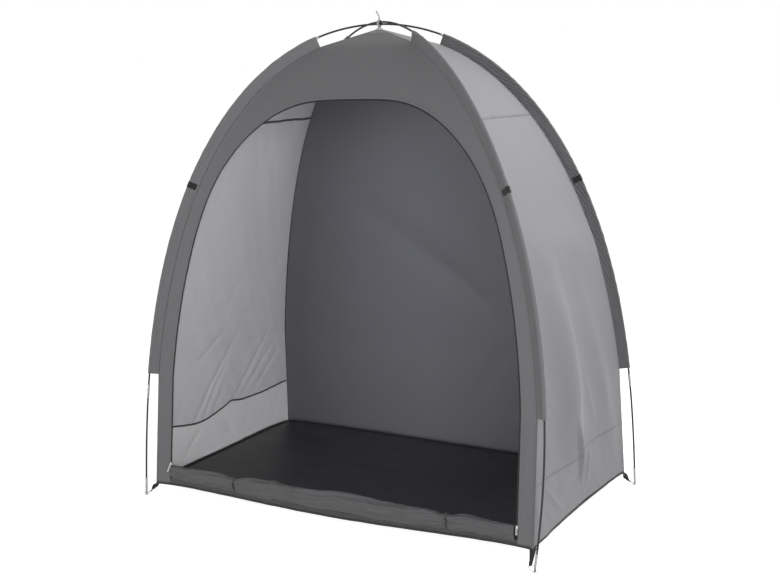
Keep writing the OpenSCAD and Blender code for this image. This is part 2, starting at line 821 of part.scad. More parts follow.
pole_crown(0);  // pole_crown_a
pole_crown(1);  // pole_crown_b
leg_pole(0);  // front_left_pole
leg_pole(1);  // front_right_pole
leg_pole(2);  // back_right_pole
leg_pole(3);  // back_left_pole
leg_ferrules(0);  // front_left_ferrules
leg_ferrules(1);  // front_right_ferrules
leg_ferrules(2);  // back_right_ferrules
leg_ferrules(3);  // back_left_ferrules
leg_sleeve(0);  // front_left_sleeve
leg_sleeve(1);  // front_right_sleeve
leg_sleeve(2);  // back_right_sleeve
leg_sleeve(3);  // back_left_sleeve
corner_ring(0);  // front_left_ring
corner_ring(1);  // front_right_ring
corner_ring(2);  // back_right_ring
corner_ring(3);  // back_left_ring
corner_pin(0);  // front_left_pin
corner_pin(1);  // front_right_pin
corner_pin(2);  // back_right_pin
corner_pin(3);  // back_left_pin
corner_straps();
sleeve_tabs();
front_jamb(false);  // front_left_panel
front_jamb(true);  // front_right_panel
front_top_panel();
front_sill();
back_panel(false);  // back_lower_panel
back_panel(true);  // back_upper_panel
side_panel(1, 0);  // right_lower_panel
side_panel(1, 1);  // right_middle_panel
side_panel(1, 2);  // right_top_panel
side_panel(3, 0);  // left_lower_panel
side_panel(3, 1);  // left_middle_panel
side_panel(3, 2);  // left_top_panel
side_seam_tapes();
hem_binding();
groundsheet();
groundsheet_rim();
door_roll();
door_ties();
door_zip();
zip_pulls();
peak_loop();
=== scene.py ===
import math

import bmesh
import bpy
import numpy as np
from mathutils import Matrix, Vector


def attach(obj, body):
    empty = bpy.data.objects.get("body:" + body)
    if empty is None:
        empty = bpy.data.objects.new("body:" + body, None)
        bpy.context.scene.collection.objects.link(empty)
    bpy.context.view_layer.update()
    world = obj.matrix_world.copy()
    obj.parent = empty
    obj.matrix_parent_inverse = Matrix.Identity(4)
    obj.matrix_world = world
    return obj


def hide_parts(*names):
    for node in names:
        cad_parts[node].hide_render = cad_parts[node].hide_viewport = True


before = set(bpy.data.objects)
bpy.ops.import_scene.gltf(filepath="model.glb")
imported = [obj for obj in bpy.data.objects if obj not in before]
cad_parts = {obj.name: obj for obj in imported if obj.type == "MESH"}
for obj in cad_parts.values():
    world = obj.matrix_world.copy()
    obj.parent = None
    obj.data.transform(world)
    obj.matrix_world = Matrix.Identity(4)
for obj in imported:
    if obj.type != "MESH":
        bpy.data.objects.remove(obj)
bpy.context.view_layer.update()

scene = bpy.context.scene

# The shelter as pitched, in metres
# Legs are numbered front left, front right, back right, back left; walls front, right, back, left

pitch = {
    "length": 1.85,            # cloth footprint along the front
    "depth": 1.03,             # and from front to back
    "height": 2.05,            # the lower pole where the poles cross
    "hemZ": 0.055,
    "archPower": 2.4,          # how full the pole arch is
    "footOut": 0.045,          # pole feet outside the cloth corners
    "footIn": [0, 0.074, 0, 0],
    "bow": [-0.03, 0.1, -0.02, -0.02],
    "lift": [0, 0.0083, 0, 0.0083],
    "cornerIn": [0, 0.056, 0, 0.025],
    "cornerAside": [0, 0.02, 0, 0],
    "cornerUp": [0, 0.02, 0, 0],
    "wallSag": [0.014, 0.018, 0.014, 0.018],
    "hemRise": [0.02, 0.026, 0.024, 0.022],
    "hemDip": [0.026, 0, 0, 0],
    "hemFade": 0.3,
    "sleeveWide": 0.036,
    "sleeveLow": [0.57, 0.608, 0.55, 0.555],
    "sleeveTop": 1.999,
    "peakR": 0.012,
    "peakZ": 2.032,
    "clothDeep": 0.003,        # middle of the cloth below the outer face of its solid
}
legNames = ["front_left", "front_right", "back_right", "back_left"]
halfDiagonal = math.hypot(pitch["length"], pitch["depth"]) / 2
diagonalAngle = math.atan2(pitch["depth"], pitch["length"])
legAngle = [math.pi + diagonalAngle, -diagonalAngle, diagonalAngle, math.pi - diagonalAngle]
inward = np.array([[0, 1, 0], [-1, 0, 0], [0, -1, 0], [1, 0, 0]], float)


def unit(v):
    return v / np.maximum(np.linalg.norm(v, axis=-1, keepdims=True), 1e-12)


def legPoint(leg, turn):
    share = np.maximum(np.cos(turn), 0) ** (2 / pitch["archPower"])
    out = (halfDiagonal + pitch["footOut"] - pitch["footIn"][leg]) * np.sin(turn)
    out = out + 4 * pitch["bow"][leg] * share * (1 - share)
    return np.stack([out, (pitch["height"] + pitch["lift"][leg]) * share], -1)


def levelTurn(level):
    share = np.clip(np.asarray(level, float) / pitch["height"], 0, 1)
    return np.arccos(share ** (pitch["archPower"] / 2))


def legUp(leg, turn):
    step = math.radians(0.2)
    return unit(legPoint(leg, turn - step) - legPoint(leg, turn + step))


def outOf(up):
    return np.stack([up[..., 1], -up[..., 0]], -1)


def insidePole(leg, level, by):
    turn = levelTurn(level)
    return legPoint(leg, turn) - outOf(legUp(leg, turn)) * np.asarray(by, float)[..., None]


# The cloth corner: straight below the sleeve, along the pole, then straight to the peak
def cornerPoint(leg, level, deep):
    level, deep = np.broadcast_arrays(np.asarray(level, float), np.asarray(deep, float))
    by = pitch["sleeveWide"] + deep
    low, top = pitch["sleeveLow"][leg], pitch["sleeveTop"]
    foot = np.stack([
        halfDiagonal - pitch["cornerIn"][leg] - deep,
        np.full(deep.shape, pitch["hemZ"] + pitch["cornerUp"][leg]),
    ], -1)
    share = ((level - pitch["hemZ"]) / (low - pitch["hemZ"]))[..., None]
    below = foot + (insidePole(leg, np.full(level.shape, low), by) - foot) * share
    start = insidePole(leg, np.full(level.shape, top), by)
    peak = np.stack([np.full(deep.shape, pitch["peakR"]), pitch["peakZ"] - deep], -1)
    above = start + (peak - start) * ((level - top) / (pitch["height"] - top))[..., None]
    beside = insidePole(leg, level, by)
    level = level[..., None]
    return np.where(level <= low, below, np.where(level <= top, beside, above))


# A point out from the peak, up, and to the side of its leg's plane, in the shared frame
def toSpace(leg, p, side=0.0):
    c, s = math.cos(legAngle[leg]), math.sin(legAngle[leg])
    side = np.broadcast_to(side, p[..., 0].shape)
    return np.stack([p[..., 0] * c - side * s, p[..., 0] * s + side * c, p[..., 1]], -1)


def cornerSpace(leg, level, deep):
    low = pitch["sleeveLow"][leg]
    fade = np.maximum(0, 1 - (np.asarray(level, float) - pitch["hemZ"]) / (low - pitch["hemZ"]))
    return toSpace(leg, cornerPoint(leg, level, deep), pitch["cornerAside"][leg] * fade)


# A point of a wall, across from 0 at its own leg to 1 at the next one
def wallPoint(wall, across, level, deep=pitch["clothDeep"]):
    across, level, deep = np.broadcast_arrays(*[np.asarray(v, float) for v in (across, level, deep)])
    a = cornerSpace(wall, level, deep)
    b = cornerSpace((wall + 1) % 4, level, deep)
    spread = np.clip(4 * across * (1 - across), 0, 1)
    sag = pitch["wallSag"][wall] * spread * np.sin(math.pi * level / pitch["height"])
    fade = np.maximum(0, 1 - (level - pitch["hemZ"]) / pitch["hemFade"])
    rise = (pitch["hemRise"][wall] * spread ** 0.25 - pitch["hemDip"][wall] * spread ** 2) * fade
    place = a + (b - a) * across[..., None] + inward[wall] * sag[..., None]
    place[..., 2] += rise
    return place


def wallNormal(wall, across, level):
    step = 0.002
    low = np.minimum(np.asarray(level, float), pitch["height"] - 2 * step)
    right = wallPoint(wall, across + step, low) - wallPoint(wall, across - step, low)
    up = wallPoint(wall, across, low + step) - wallPoint(wall, across, low - step)
    return unit(np.cross(right, up))


# Repeatable noise for creases

def lattice(x, y, seed):
    x, y = x.astype(np.int64), y.astype(np.int64)
    h = (x * 374761393 + y * 668265263 + seed * 1274126177) & 0xFFFFFFFF
    h = ((h ^ (h >> 13)) * 1274126177) & 0xFFFFFFFF
    return ((h ^ (h >> 16)) & 0xFFFF) / 32767.5 - 1


def noise(x, y, seed):
    x, y = np.broadcast_arrays(np.asarray(x, float), np.asarray(y, float))
    x0, y0 = np.floor(x), np.floor(y)
    fx, fy = x - x0, y - y0
    fx, fy = fx ** 3 * (fx * (6 * fx - 15) + 10), fy ** 3 * (fy * (6 * fy - 15) + 10)
    low = lattice(x0, y0, seed) * (1 - fx) + lattice(x0 + 1, y0, seed) * fx
    high = lattice(x0, y0 + 1, seed) * (1 - fx) + lattice(x0 + 1, y0 + 1, seed) * fx
    return low * (1 - fy) + high * fy


def layered(x, y, seed, octaves=3):
    return sum(noise(x * 2 ** k, y * 2 ** k, seed + k) * 0.5 ** k for k in range(octaves))


# Thin raised lines where the noise passes through zero
def creased(x, y, seed, sharp=3):
    return (1 - np.abs(noise(x, y, seed))) ** sharp


def linked(name, data):
    obj = bpy.data.objects.new(name, data)
    scene.collection.objects.link(obj)
    return obj


# Camera, before the pieces

view = {
    "azimuth": 29.58,
    "elevation": 11.06,
    "roll": -1.30,
    "lens": 51.28,
    "place": (2.365, -4.128, 1.840),
}
azimuth, elevation, roll = [math.radians(view[k]) for k in ("azimuth", "elevation", "roll")]
forward = -Vector((
    math.sin(azimuth) * math.cos(elevation),
    -math.cos(azimuth) * math.cos(elevation),
    math.sin(elevation),
))
levelRight = forward.cross(Vector((0, 0, 1))).normalized()
levelUp = levelRight.cross(forward)
right = math.cos(roll) * levelRight + math.sin(roll) * levelUp
up = -math.sin(roll) * levelRight + math.cos(roll) * levelUp
camera = linked("camera", bpy.data.cameras.new("camera"))
camera.data.sensor_width = 36
camera.data.lens = view["lens"]
camera.data.clip_end = 200
camera.matrix_world = Matrix((
    (right.x, up.x, -forward.x, view["place"][0]),
    (right.y, up.y, -forward.y, view["place"][1]),
    (right.z, up.z, -forward.z, view["place"][2]),
    (0, 0, 0, 1),
))
scene.camera = camera
print("camera set")


# Finishes

# Display values of 0 to 255 as a linear colour
def tone(*values):
    shares = [v / 255 for v in values]
    return tuple(v / 12.92 if v <= 0.04045 else ((v + 0.055) / 1.055) ** 2.4 for v in shares) + (1,)


def times(colour, by):
    return tuple(min(1, c * by) for c in colour[:3]) + (1,)


# One shader socket that can be used in sums; each sum adds its own node
class Wire:
    def __init__(self, tree, socket):
        self.tree, self.socket = tree, socket

    def work(self, operation, a, b=None):
        node = self.tree.nodes.new("ShaderNodeMath")
        node.operation = operation
        for socket, value in zip(node.inputs, (a, b)):
            if isinstance(value, Wire):
                self.tree.links.new(value.socket, socket)
            elif value is not None:
                socket.default_value = value
        return Wire(self.tree, node.outputs[0])

    def __add__(self, other):
        return self.work("ADD", self, other)

    def __radd__(self, other):
        return self.work("ADD", other, self)

    def __sub__(self, other):
        return self.work("SUBTRACT", self, other)

    def __rsub__(self, other):
        return self.work("SUBTRACT", other, self)

    def __mul__(self, other):
        return self.work("MULTIPLY", self, other)

    def __rmul__(self, other):
        return self.work("MULTIPLY", other, self)

    def __truediv__(self, other):
        return self.work("DIVIDE", self, other)

    def __rtruediv__(self, other):
        return self.work("DIVIDE", other, self)

    def sine(self):
        return self.work("SINE", self)

    def size(self):
        return self.work("ABSOLUTE", self)

    def most(self, other):
        return self.work("MAXIMUM", self, other)


# Adds nodes to a tree, with their input values or wires and their settings
class Nodes:
    def __init__(self, tree):
        self.tree = tree
        tree.nodes.clear()

    def node(self, kind, values=None, **settings):
        node = self.tree.nodes.new(kind)
        for key, value in settings.items():
            setattr(node, key, value)
        for key, value in (values or {}).items():
            if isinstance(value, Wire):
                self.tree.links.new(value.socket, node.inputs[key])
            else:
                node.inputs[key].default_value = value
        return node

    def wire(self, node, output=0):
        return Wire(self.tree, node.outputs[output])


# A material in the making
class Finish(Nodes):
    def __init__(self, name):
        self.material = bpy.data.materials.new(name)
        self.material.use_nodes = True
        super().__init__(self.material.node_tree)
        self.place = self.node("ShaderNodeTexCoord")

    def objectPlace(self):
        return self.wire(self.place, "Object")

    def weavePlace(self):
        return self.wire(self.place, "UV")

    def axes(self, place):
        split = self.node("ShaderNodeSeparateXYZ", {"Vector": place})
        return [self.wire(split, k) for k in range(3)]

    def cloudy(self, place, scale, detail=2, rough=0.5, stretch=None):
        if stretch:
            place = self.wire(self.node("ShaderNodeMapping", {"Vector": place, "Scale": stretch}))
        return self.wire(self.node("ShaderNodeTexNoise", {
            "Vector": place, "Scale": scale, "Detail": detail, "Roughness": rough,
        }))

    def clouds(self, scale, detail=2, rough=0.5, stretch=None):
        return self.cloudy(self.objectPlace(), scale, detail, rough, stretch)

    # the numbered sockets are the node's colour ones
    def mixed(self, amount, a, b):
        return self.wire(self.node("ShaderNodeMix", {0: amount, 6: a, 7: b}, data_type="RGBA"), 2)

    def raised(self, height, distance, strength=1.0, under=None):
        values = {"Height": height, "Distance": distance, "Strength": strength}
        if under is not None:
            values["Normal"] = under
        return self.wire(self.node("ShaderNodeBump", values))

    def close(self, colour, roughness, normal=None, **fixed):
        values = {"Base Color": colour, "Roughness": roughness}
        if normal is not None:
            values["Normal"] = normal
        names = {"metallic": "Metallic", "sheen": "Sheen Weight", "sheenRough": "Sheen Roughness",
                 "specular": "Specular IOR Level"}
        for key, value in fixed.items():
            values[names[key]] = value
        shader = self.node("ShaderNodeBsdfPrincipled", values)
        self.node("ShaderNodeOutputMaterial", {"Surface": self.wire(shader)})
        return self.material


cloth = {"thread": 0.0011, "variation": 0.05, "rough": 0.57, "dustHigh": 0.16}


# Plain woven cloth: threads over and under, slubs, handling marks, a dusty hem, and painted shade along
# folds and in pleat valleys
def wovenCloth(name, colour, dust=0.0, crinkle=0.5, sheen=0.12, folds=0, folded=False):
    f = Finish(name)
    u, v, _ = f.axes(f.weavePlace())
    warp = (u * (math.pi / cloth["thread"])).sine()
    weft = (v * (math.pi / cloth["thread"])).sine()
    threads = (warp * weft).size() * 0.6 + (warp.size() + weft.size()) * 0.2
    slub = f.cloudy(f.weavePlace(), 1.0, 2, 0.6, (1200, 45, 1))
    slub2 = f.cloudy(f.weavePlace(), 1.0, 2, 0.6, (45, 1200, 1))
    patches = f.clouds(2.6, 3, 0.55)
    marks = f.clouds(19, 4, 0.6)
    level = patches * 0.6 + marks * 0.25 + (slub + slub2) * 0.075
    shade = f.mixed(level, times(colour, 1 - cloth["variation"]), times(colour, 1 + cloth["variation"]))
    gaps = (1 - threads) * 0.16
    shade = f.mixed(gaps, shade, times(colour, 0.45))
    if dust:
        z = f.axes(f.objectPlace())[2]
        low = (1 - z / cloth["dustHigh"]).most(0) * f.clouds(34, 5, 0.65) * dust
        shade = f.mixed(low, shade, tone(150, 148, 144))
    bumps = f.raised(threads, 0.00012, 0.5)
    bumps = f.raised(f.clouds(42, 5, 0.62), 0.0011, crinkle, bumps)
    if folds:
        # long fine folds along X, with painted shade darkening each fold line
        long = f.clouds(1.0, 3, 0.55, (2.6, 17, 17))
        fromFold = (long - 0.5).size()
        bumps = f.raised(fromFold * -1, folds, 1.0, bumps)
        # painted shade: colour darkened along each fold line
        shade = f.mixed((0.05 - fromFold).most(0) * 9, shade, times(colour, 0.6))
    if folded:
        # painted shade: colour darkened in the valleys of its pleats
        fold = f.wire(f.node("ShaderNodeAttribute", attribute_name="fold"), 2)
        shade = f.mixed(fold, shade, times(colour, 0.2))
    return f.close(shade, 0.1 * marks + cloth["rough"], bumps, sheen=sheen, sheenRough=0.4, specular=0.3)


# Ribbed webbing or tape, with its ribs across the strip
def ribbedTape(name, colour, rib=0.0016):
    f = Finish(name)
    u, v, _ = f.axes(f.weavePlace())
    ribs = (v * (math.pi / rib)).sine().size()
    strands = (u * (math.pi / cloth["thread"])).sine().size()
    body = ribs * 0.6 + strands * 0.4
    wear = f.clouds(120, 4, 0.6)
    shade = f.mixed(body * 0.5 + wear * 0.5, times(colour, 0.6), times(colour, 1.5))
    return f.close(shade, wear * 0.15 + 0.75, f.raised(body, 0.0003, 0.9), sheen=0.15, specular=0.25)


def metalTube(name, colour, rough=0.32):
    f = Finish(name)
    drawn = f.clouds(1.0, 3, 0.6, (900, 900, 12))
    scuffs = f.clouds(160, 5, 0.7)
    shade = f.mixed(scuffs * 0.5, colour, times(colour, 0.7))
    return f.close(shade, scuffs * 0.2 + drawn * 0.1 + (rough - 0.12),
                   f.raised(drawn + scuffs * 0.4, 0.00008, 0.7), metallic=1.0)


def satinRod(name, colour):
    f = Finish(name)
    fibres = f.clouds(260, 3, 0.6)
    rubbed = f.clouds(22, 4, 0.6)
    shade = f.mixed(rubbed * 0.5, colour, tone(50, 50, 52))
    rough = fibres * 0.15 + rubbed * 0.12 + 0.36
    return f.close(shade, rough, f.raised(fibres, 0.0001, 0.6), specular=0.3)


def mouldedNylon(name, colour, rough):
    f = Finish(name)
    grain = f.clouds(900, 3, 0.5)
    worn = f.clouds(60, 4, 0.6)
    shade = f.mixed(worn * 0.4, colour, times(colour, 1.25))
    return f.close(shade, grain * 0.12 + rough - 0.05, f.raised(grain, 0.0001, 0.5), specular=0.5)


# Woven floor film with flat tapes, scuffed by shoes and tyres; its lighter smears are partly painted
# reflection
def floorFilm(name, colour):
    f = Finish(name)
    u, v, _ = f.axes(f.weavePlace())
    tapeWide = 0.0026
    tapes = (u * (math.pi / tapeWide)).sine().size() * 0.5
    tapes = tapes + (v * (math.pi / tapeWide)).sine().size() * 0.5
    scuffs = f.clouds(11, 6, 0.68)
    smearsAndPaintedGloss = f.clouds(3.2, 3, 0.5, (1.0, 4.5, 1.0))
    # scuffs lighten and darken it; the long lighter smears are partly real smudges and partly painted
    # reflection of the bright walls and background
    shade = f.mixed(scuffs * 0.5 + smearsAndPaintedGloss * 0.5, times(colour, 0.62), times(colour, 1.45))
    bumps = f.raised(tapes, 0.00012, 0.5)
    bumps = f.raised(f.clouds(26, 4, 0.6), 0.002, 0.5, bumps)
    return f.close(shade, scuffs * 0.22 + smearsAndPaintedGloss * 0.12 + 0.22, bumps, specular=0.5)


# How each finish is made, its tone and what sets it apart
finishTable = {
    "frontOut": (wovenCloth, (98, 98, 100), {"dust": 0.15}),
    "frontIn": (wovenCloth, (96, 97, 101), {}),
    "sill": (wovenCloth, (53, 53, 56), {"dust": 0.2}),
    # painted shade: the rolled door is a darker copy of the front cloth, with painted shade along its
    # folds
    "roll": (wovenCloth, (80, 80, 82), {"crinkle": 0.9, "dust": 0.1, "folds": 0.010}),
    "backOut": (wovenCloth, (102, 103, 107), {"dust": 0.25}),
    "backIn": (wovenCloth, (106, 107, 113), {}),
    "sideOut": (wovenCloth, (124, 123, 126), {"dust": 0.1, "sheen": 0.1}),
    # painted light: the inner faces of the side walls are far lighter than the outer face, standing for
    # light coming through the thin cloth; the lowest band is lighter still
    "sideIn": (wovenCloth, (220, 219, 222), {"sheen": 0.1}),
    "sideInLow": (wovenCloth, (240, 239, 241), {"sheen": 0.1}),
    # sleeve cloth, with painted shade in its pleat valleys
    "sleeve": (wovenCloth, (102, 102, 104), {"crinkle": 0.9, "folded": True}),
    # painted shade: a darker copy of the sleeve cloth for the back sleeves, also with painted shade in
    # its pleat valleys
    "sleeveBack": (wovenCloth, (90, 90, 92), {"crinkle": 0.9, "folded": True}),
    "floor": (floorFilm, (52, 52, 54), {}),
    "binding": (ribbedTape, (44, 44, 46), {}),
    "seamTape": (ribbedTape, (74, 74, 77), {}),
    "webbing": (ribbedTape, (30, 30, 32), {}),
    "tieTape": (ribbedTape, (62, 62, 64), {}),
    "loopTape": (ribbedTape, (150, 149, 150), {"rib": 0.0012}),
    "thread": (mouldedNylon, (100, 100, 102), {"rough": 0.55}),
    "paleThread": (mouldedNylon, (138, 137, 140), {"rough": 0.55}),
    "darkThread": (mouldedNylon, (30, 30, 32), {"rough": 0.55}),
    "zipTape": (ribbedTape, (30, 30, 32), {"rib": 0.0012}),
    "zipTeeth": (mouldedNylon, (24, 24, 26), {"rough": 0.45}),
    "zipPull": (mouldedNylon, (222, 222, 224), {"rough": 0.35}),
    "toggle": (mouldedNylon, (58, 58, 60), {"rough": 0.45}),
    "rod": (satinRod, (24, 24, 26), {}),
    "ferrule": (metalTube, (150, 151, 153), {}),
    "wire": (metalTube, (118, 119, 121), {"rough": 0.3}),
}
finishes = {
    name: make(name, tone(*values), **settings) for name, (make, values, settings) in finishTable.items()
}
print("finishes made:", len(finishes))


# Making meshes

def addMesh(name, points, faces, materials, uv=None):
    points = np.ascontiguousarray(points, dtype=np.float32).reshape(-1, 3)
    faces = np.ascontiguousarray(faces, dtype=np.int32)
    mesh = bpy.data.meshes.new(name)
    mesh.vertices.add(len(points))
    mesh.vertices.foreach_set("co", points.ravel())
    mesh.loops.add(faces.size)
    mesh.loops.foreach_set("vertex_index", faces.ravel())
    mesh.polygons.add(len(faces))
    mesh.polygons.foreach_set("loop_start", np.arange(len(faces), dtype=np.int32) * faces.shape[1])
    mesh.update(calc_edges=True)
    if uv is not None:
        layer = mesh.uv_layers.new(name="weave")
        layer.data.foreach_set("uv", np.ascontiguousarray(uv, dtype=np.float32).ravel())
    mesh.shade_smooth()
    for material in materials:
        mesh.materials.append(finishes[material])
    return linked(name, mesh)


# The four corners of each cell of a grid
def cells(grid):
    return np.stack([grid[:-1, :-1], grid[:-1, 1:], grid[1:, 1:], grid[1:, :-1]], 2)


# Quads between numbered points, in rows that may close on themselves, as may the columns
def gridFaces(rows, cols, closed, ring=False):
    index = np.arange(rows * cols).reshape(rows, cols)
    if closed:
        index = np.concatenate([index, index[:, :1]], 1)
    if ring:
        index = np.concatenate([index, index[:1]], 0)
    return cells(index).reshape(-1, 4)


# A grid of points, rows up and columns to the right, with places in metres for the weave
def addGrid(name, points, weave, materials, closed=False):
    faces = gridFaces(*points.shape[:2], closed)
    return addMesh(name, points, faces, materials, cells(weave).reshape(-1, 2))


# Gives cloth its thickness, on the inner side unless told otherwise; that side may have another finish
def thicken(obj, thickness, inner=False, offset=-1):
    solid = obj.modifiers.new("thickness", "SOLIDIFY")
    solid.thickness = thickness
    solid.offset = offset
    solid.use_even_offset = False
    if inner:
        solid.material_offset = 1


# Two measures spread over one grid, as pairs
def paired(a, b):
    return np.stack(np.broadcast_arrays(a, b), -1)


def runOf(points):
    steps = np.linalg.norm(np.diff(points, axis=0), axis=1)
    return np.concatenate([[0], np.cumsum(steps)])


# Two side directions at each point of a line, without twisting
def alongFrames(path, first):
    tangent = unit(np.gradient(path, axis=0))
    normal = np.zeros_like(path)
    normal[0] = unit(first - tangent[0] * np.dot(first, tangent[0]))
    for k in range(1, len(path)):
        normal[k] = unit(normal[k - 1] - tangent[k] * np.dot(normal[k - 1], tangent[k]))
    return normal, np.cross(tangent, normal)


# A closed round rod or wire along a line of points
def addTube(name, path, radii, material, sides=14, first=(0, 0, 1), ring=False):
    path = np.asarray(path, float)
    radii = np.broadcast_to(radii, (len(path),))
    if ring:
        path = np.concatenate([path[-1:], path, path[:1]])
    normal, side = alongFrames(path, np.asarray(first, float))
    if ring:
        path, normal, side = path[1:-1], normal[1:-1], side[1:-1]
    a = np.arange(sides) * 2 * math.pi / sides
    circle = normal[:, None] * np.cos(a)[None, :, None] + side[:, None] * np.sin(a)[None, :, None]
    points = (path[:, None] + circle * radii[:, None, None]).reshape(-1, 3)
    quads = gridFaces(len(path), sides, True, ring)
    if ring:
        return addMesh(name, points, quads, [material])
    # fans of triangles close the ends
    low, lastRow = len(points), len(points) - sides
    caps = [[low, (k + 1) % sides, k] for k in range(sides)]
    caps += [[low + 1, lastRow + k, lastRow + (k + 1) % sides] for k in range(sides)]
    mesh = bpy.data.meshes.new(name)
    mesh.from_pydata(np.concatenate([points, path[:1], path[-1:]]).tolist(), [], quads.tolist() + caps)
    mesh.update()
    mesh.shade_smooth()
    mesh.materials.append(finishes[material])
    return linked(name, mesh)


# A turned shape: [radius, distance] pairs spun about an axis; the profile closes on itself
def spunPoints(base, axis, profile, sides):
    axis = unit(np.asarray(axis, float))
    helper = np.array([0, 1, 0]) if abs(axis[1]) < 0.9 else np.array([1, 0, 0])
    e1 = unit(np.cross(axis, helper))
    e2 = np.cross(axis, e1)
    a = np.arange(sides) * 2 * math.pi / sides
    profile = np.asarray(profile, float)
    circle = e1[None] * np.cos(a)[:, None] + e2[None] * np.sin(a)[:, None]
    points = np.asarray(base, float) + axis * profile[:, 1][:, None, None] \
        + circle[None] * profile[:, 0][:, None, None]
    return points.reshape(-1, 3), gridFaces(len(profile), sides, True, True)


def joined(parts):
    points, quads, start = [], [], 0
    for p, q in parts:
        points.append(p)
        quads.append(q + start)
        start += len(p)
    return np.concatenate(points), np.concatenate(quads)


# A strip of tape along a line, with its side direction and width at each point
def stripPoints(path, side, wide, cols=5):
    t = np.linspace(-0.5, 0.5, cols)
    wide = np.broadcast_to(wide, (len(path),))
    aside = wide[:, None] * t
    return path[:, None] + side[:, None] * aside[..., None], paired(aside, runOf(path)[:, None])


def place(obj, slotName, *replaced):
    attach(obj, "root")
    if replaced:
        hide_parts(*replaced)


flatSizes = {}


# Without an area it is that of the flat strip
def clothSheet(obj, wide, long, area):
    area = wide * long if area is None else area
    flat = (round(float(wide), 3), round(float(long), 3))
    area = round(min(max(float(area), 0.3005 * flat[0] * flat[1]), flat[0] * flat[1]), 6)
    flatSizes[obj.name] = (flat, area)


def gridArea(points):
    a = points[1:, 1:] - points[:-1, :-1]
    b = points[1:, :-1] - points[:-1, 1:]
    return 0.5 * np.linalg.norm(np.cross(a, b), axis=-1).sum()


# Rows of stitches and of zip teeth, made by one node tree

def repeatTree():
    tree = bpy.data.node_groups.new("sewnRow", "GeometryNodeTree")
    kinds = {"Places": "Geometry", "Length": "Float", "Thickness": "Float", "Flatness": "Float",
             "Unevenness": "Float", "Sides": "Int", "Seed": "Int", "Finish": "Material"}
    for socketName, kind in kinds.items():
        tree.interface.new_socket(socketName, in_out="INPUT", socket_type="NodeSocket" + kind)
    tree.interface.new_socket("Row", in_out="OUTPUT", socket_type="NodeSocketGeometry")
    n = Nodes(tree)
    inputs = n.node("NodeGroupInput")
    given = {key: n.wire(inputs, key) for key in kinds}
    bar = n.node("GeometryNodeMeshCylinder", {
        "Vertices": given["Sides"], "Radius": given["Thickness"] * 0.5, "Depth": given["Length"],
    })
    # laid down and pressed flat
    alongX = (0, math.pi / 2, 0)
    bar = n.node("GeometryNodeTransform", {"Geometry": n.wire(bar), "Rotation": alongX})
    press = n.node("ShaderNodeCombineXYZ", {"X": 1, "Y": 1, "Z": given["Flatness"]})
    bar = n.node("GeometryNodeTransform", {"Geometry": n.wire(bar), "Scale": n.wire(press)})
    read = "GeometryNodeInputNamedAttribute"
    outward = n.wire(n.node(read, {"Name": "outward"}, data_type="FLOAT_VECTOR"), "Attribute")
    along = n.wire(n.node(read, {"Name": "along"}, data_type="FLOAT_VECTOR"), "Attribute")
    turn = n.node("FunctionNodeAxesToRotation", {"Primary Axis": outward, "Secondary Axis": along},
                  primary_axis="Z", secondary_axis="X")
    # from the least share of full size to all of it
    vary = n.node("FunctionNodeRandomValue", {2: 1 - given["Unevenness"], 3: 1, "Seed": given["Seed"]},
                  data_type="FLOAT")
    spread = n.node("GeometryNodeInstanceOnPoints", {
        "Points": given["Places"], "Instance": n.wire(bar),
        "Rotation": n.wire(turn), "Scale": n.wire(vary, 1),
    })
    real = n.node("GeometryNodeRealizeInstances", {"Geometry": n.wire(spread)})
    coat = n.node("GeometryNodeSetMaterial", {"Geometry": n.wire(real), "Material": given["Finish"]})
    n.node("NodeGroupOutput", {"Row": n.wire(coat)})
    return tree


# The values of a line at these distances along it
def between(at, run, values):
    return np.stack([np.interp(at, run, values[:, k]) for k in range(3)], -1)


sewnRow = repeatTree()
stitch = {"gap": 0.0046, "long": 0.0036, "thick": 0.0006, "off": 0.0005}


# Lines are [places, outward directions]; short bars are laid along each line, or across it
def addRow(name, lines, gapBetween, length, thickness, material, flatness=0.7, sides=5,
           uneven=0.15, acrossLine=False, seed=7):
    places, outs, alongs = [], [], []
    for path, outward in lines:
        path = np.asarray(path, float)
        run = runOf(path)
        at = np.arange(gapBetween / 2, run[-1], gapBetween)
        spots = between(at, run, path)
        out = unit(between(at, run, outward))
        tangent = unit(np.gradient(spots, axis=0))
        places.append(spots)
        outs.append(out)
        alongs.append(np.cross(out, tangent) if acrossLine else tangent)
    places, outs, alongs = np.concatenate(places), np.concatenate(outs), np.concatenate(alongs)
    mesh = bpy.data.meshes.new(name + "Places")
    mesh.vertices.add(len(places))
    mesh.vertices.foreach_set("co", places.astype(np.float32).ravel())
    for key, values in (("outward", outs), ("along", alongs)):
        layer = mesh.attributes.new(key, "FLOAT_VECTOR", "POINT")
        layer.data.foreach_set("vector", values.astype(np.float32).ravel())
    source = linked(name + "Places", mesh)
    modifier = source.modifiers.new("row", "NODES")
    modifier.node_group = sewnRow
    wanted = {"Length": length, "Thickness": thickness, "Flatness": flatness, "Unevenness": uneven,
              "Sides": sides, "Seed": seed, "Finish": finishes[material]}
    for item in sewnRow.interface.items_tree:
        if item.in_out == "INPUT" and item.name in wanted:
            modifier[item.identifier] = wanted[item.name]
    evaluated = source.evaluated_get(bpy.context.evaluated_depsgraph_get())
    made = bpy.data.meshes.new_from_object(evaluated)
    made.name = name
    for layer in [a.name for a in made.attributes if a.name in ("outward", "along")]:
        made.attributes.remove(made.attributes[layer])
    bpy.data.objects.remove(source)
    bpy.data.meshes.remove(mesh)
    obj = linked(name, made)
    made.shade_smooth()
    print(name, len(places), "repeats")
    return obj


# How each wall creases

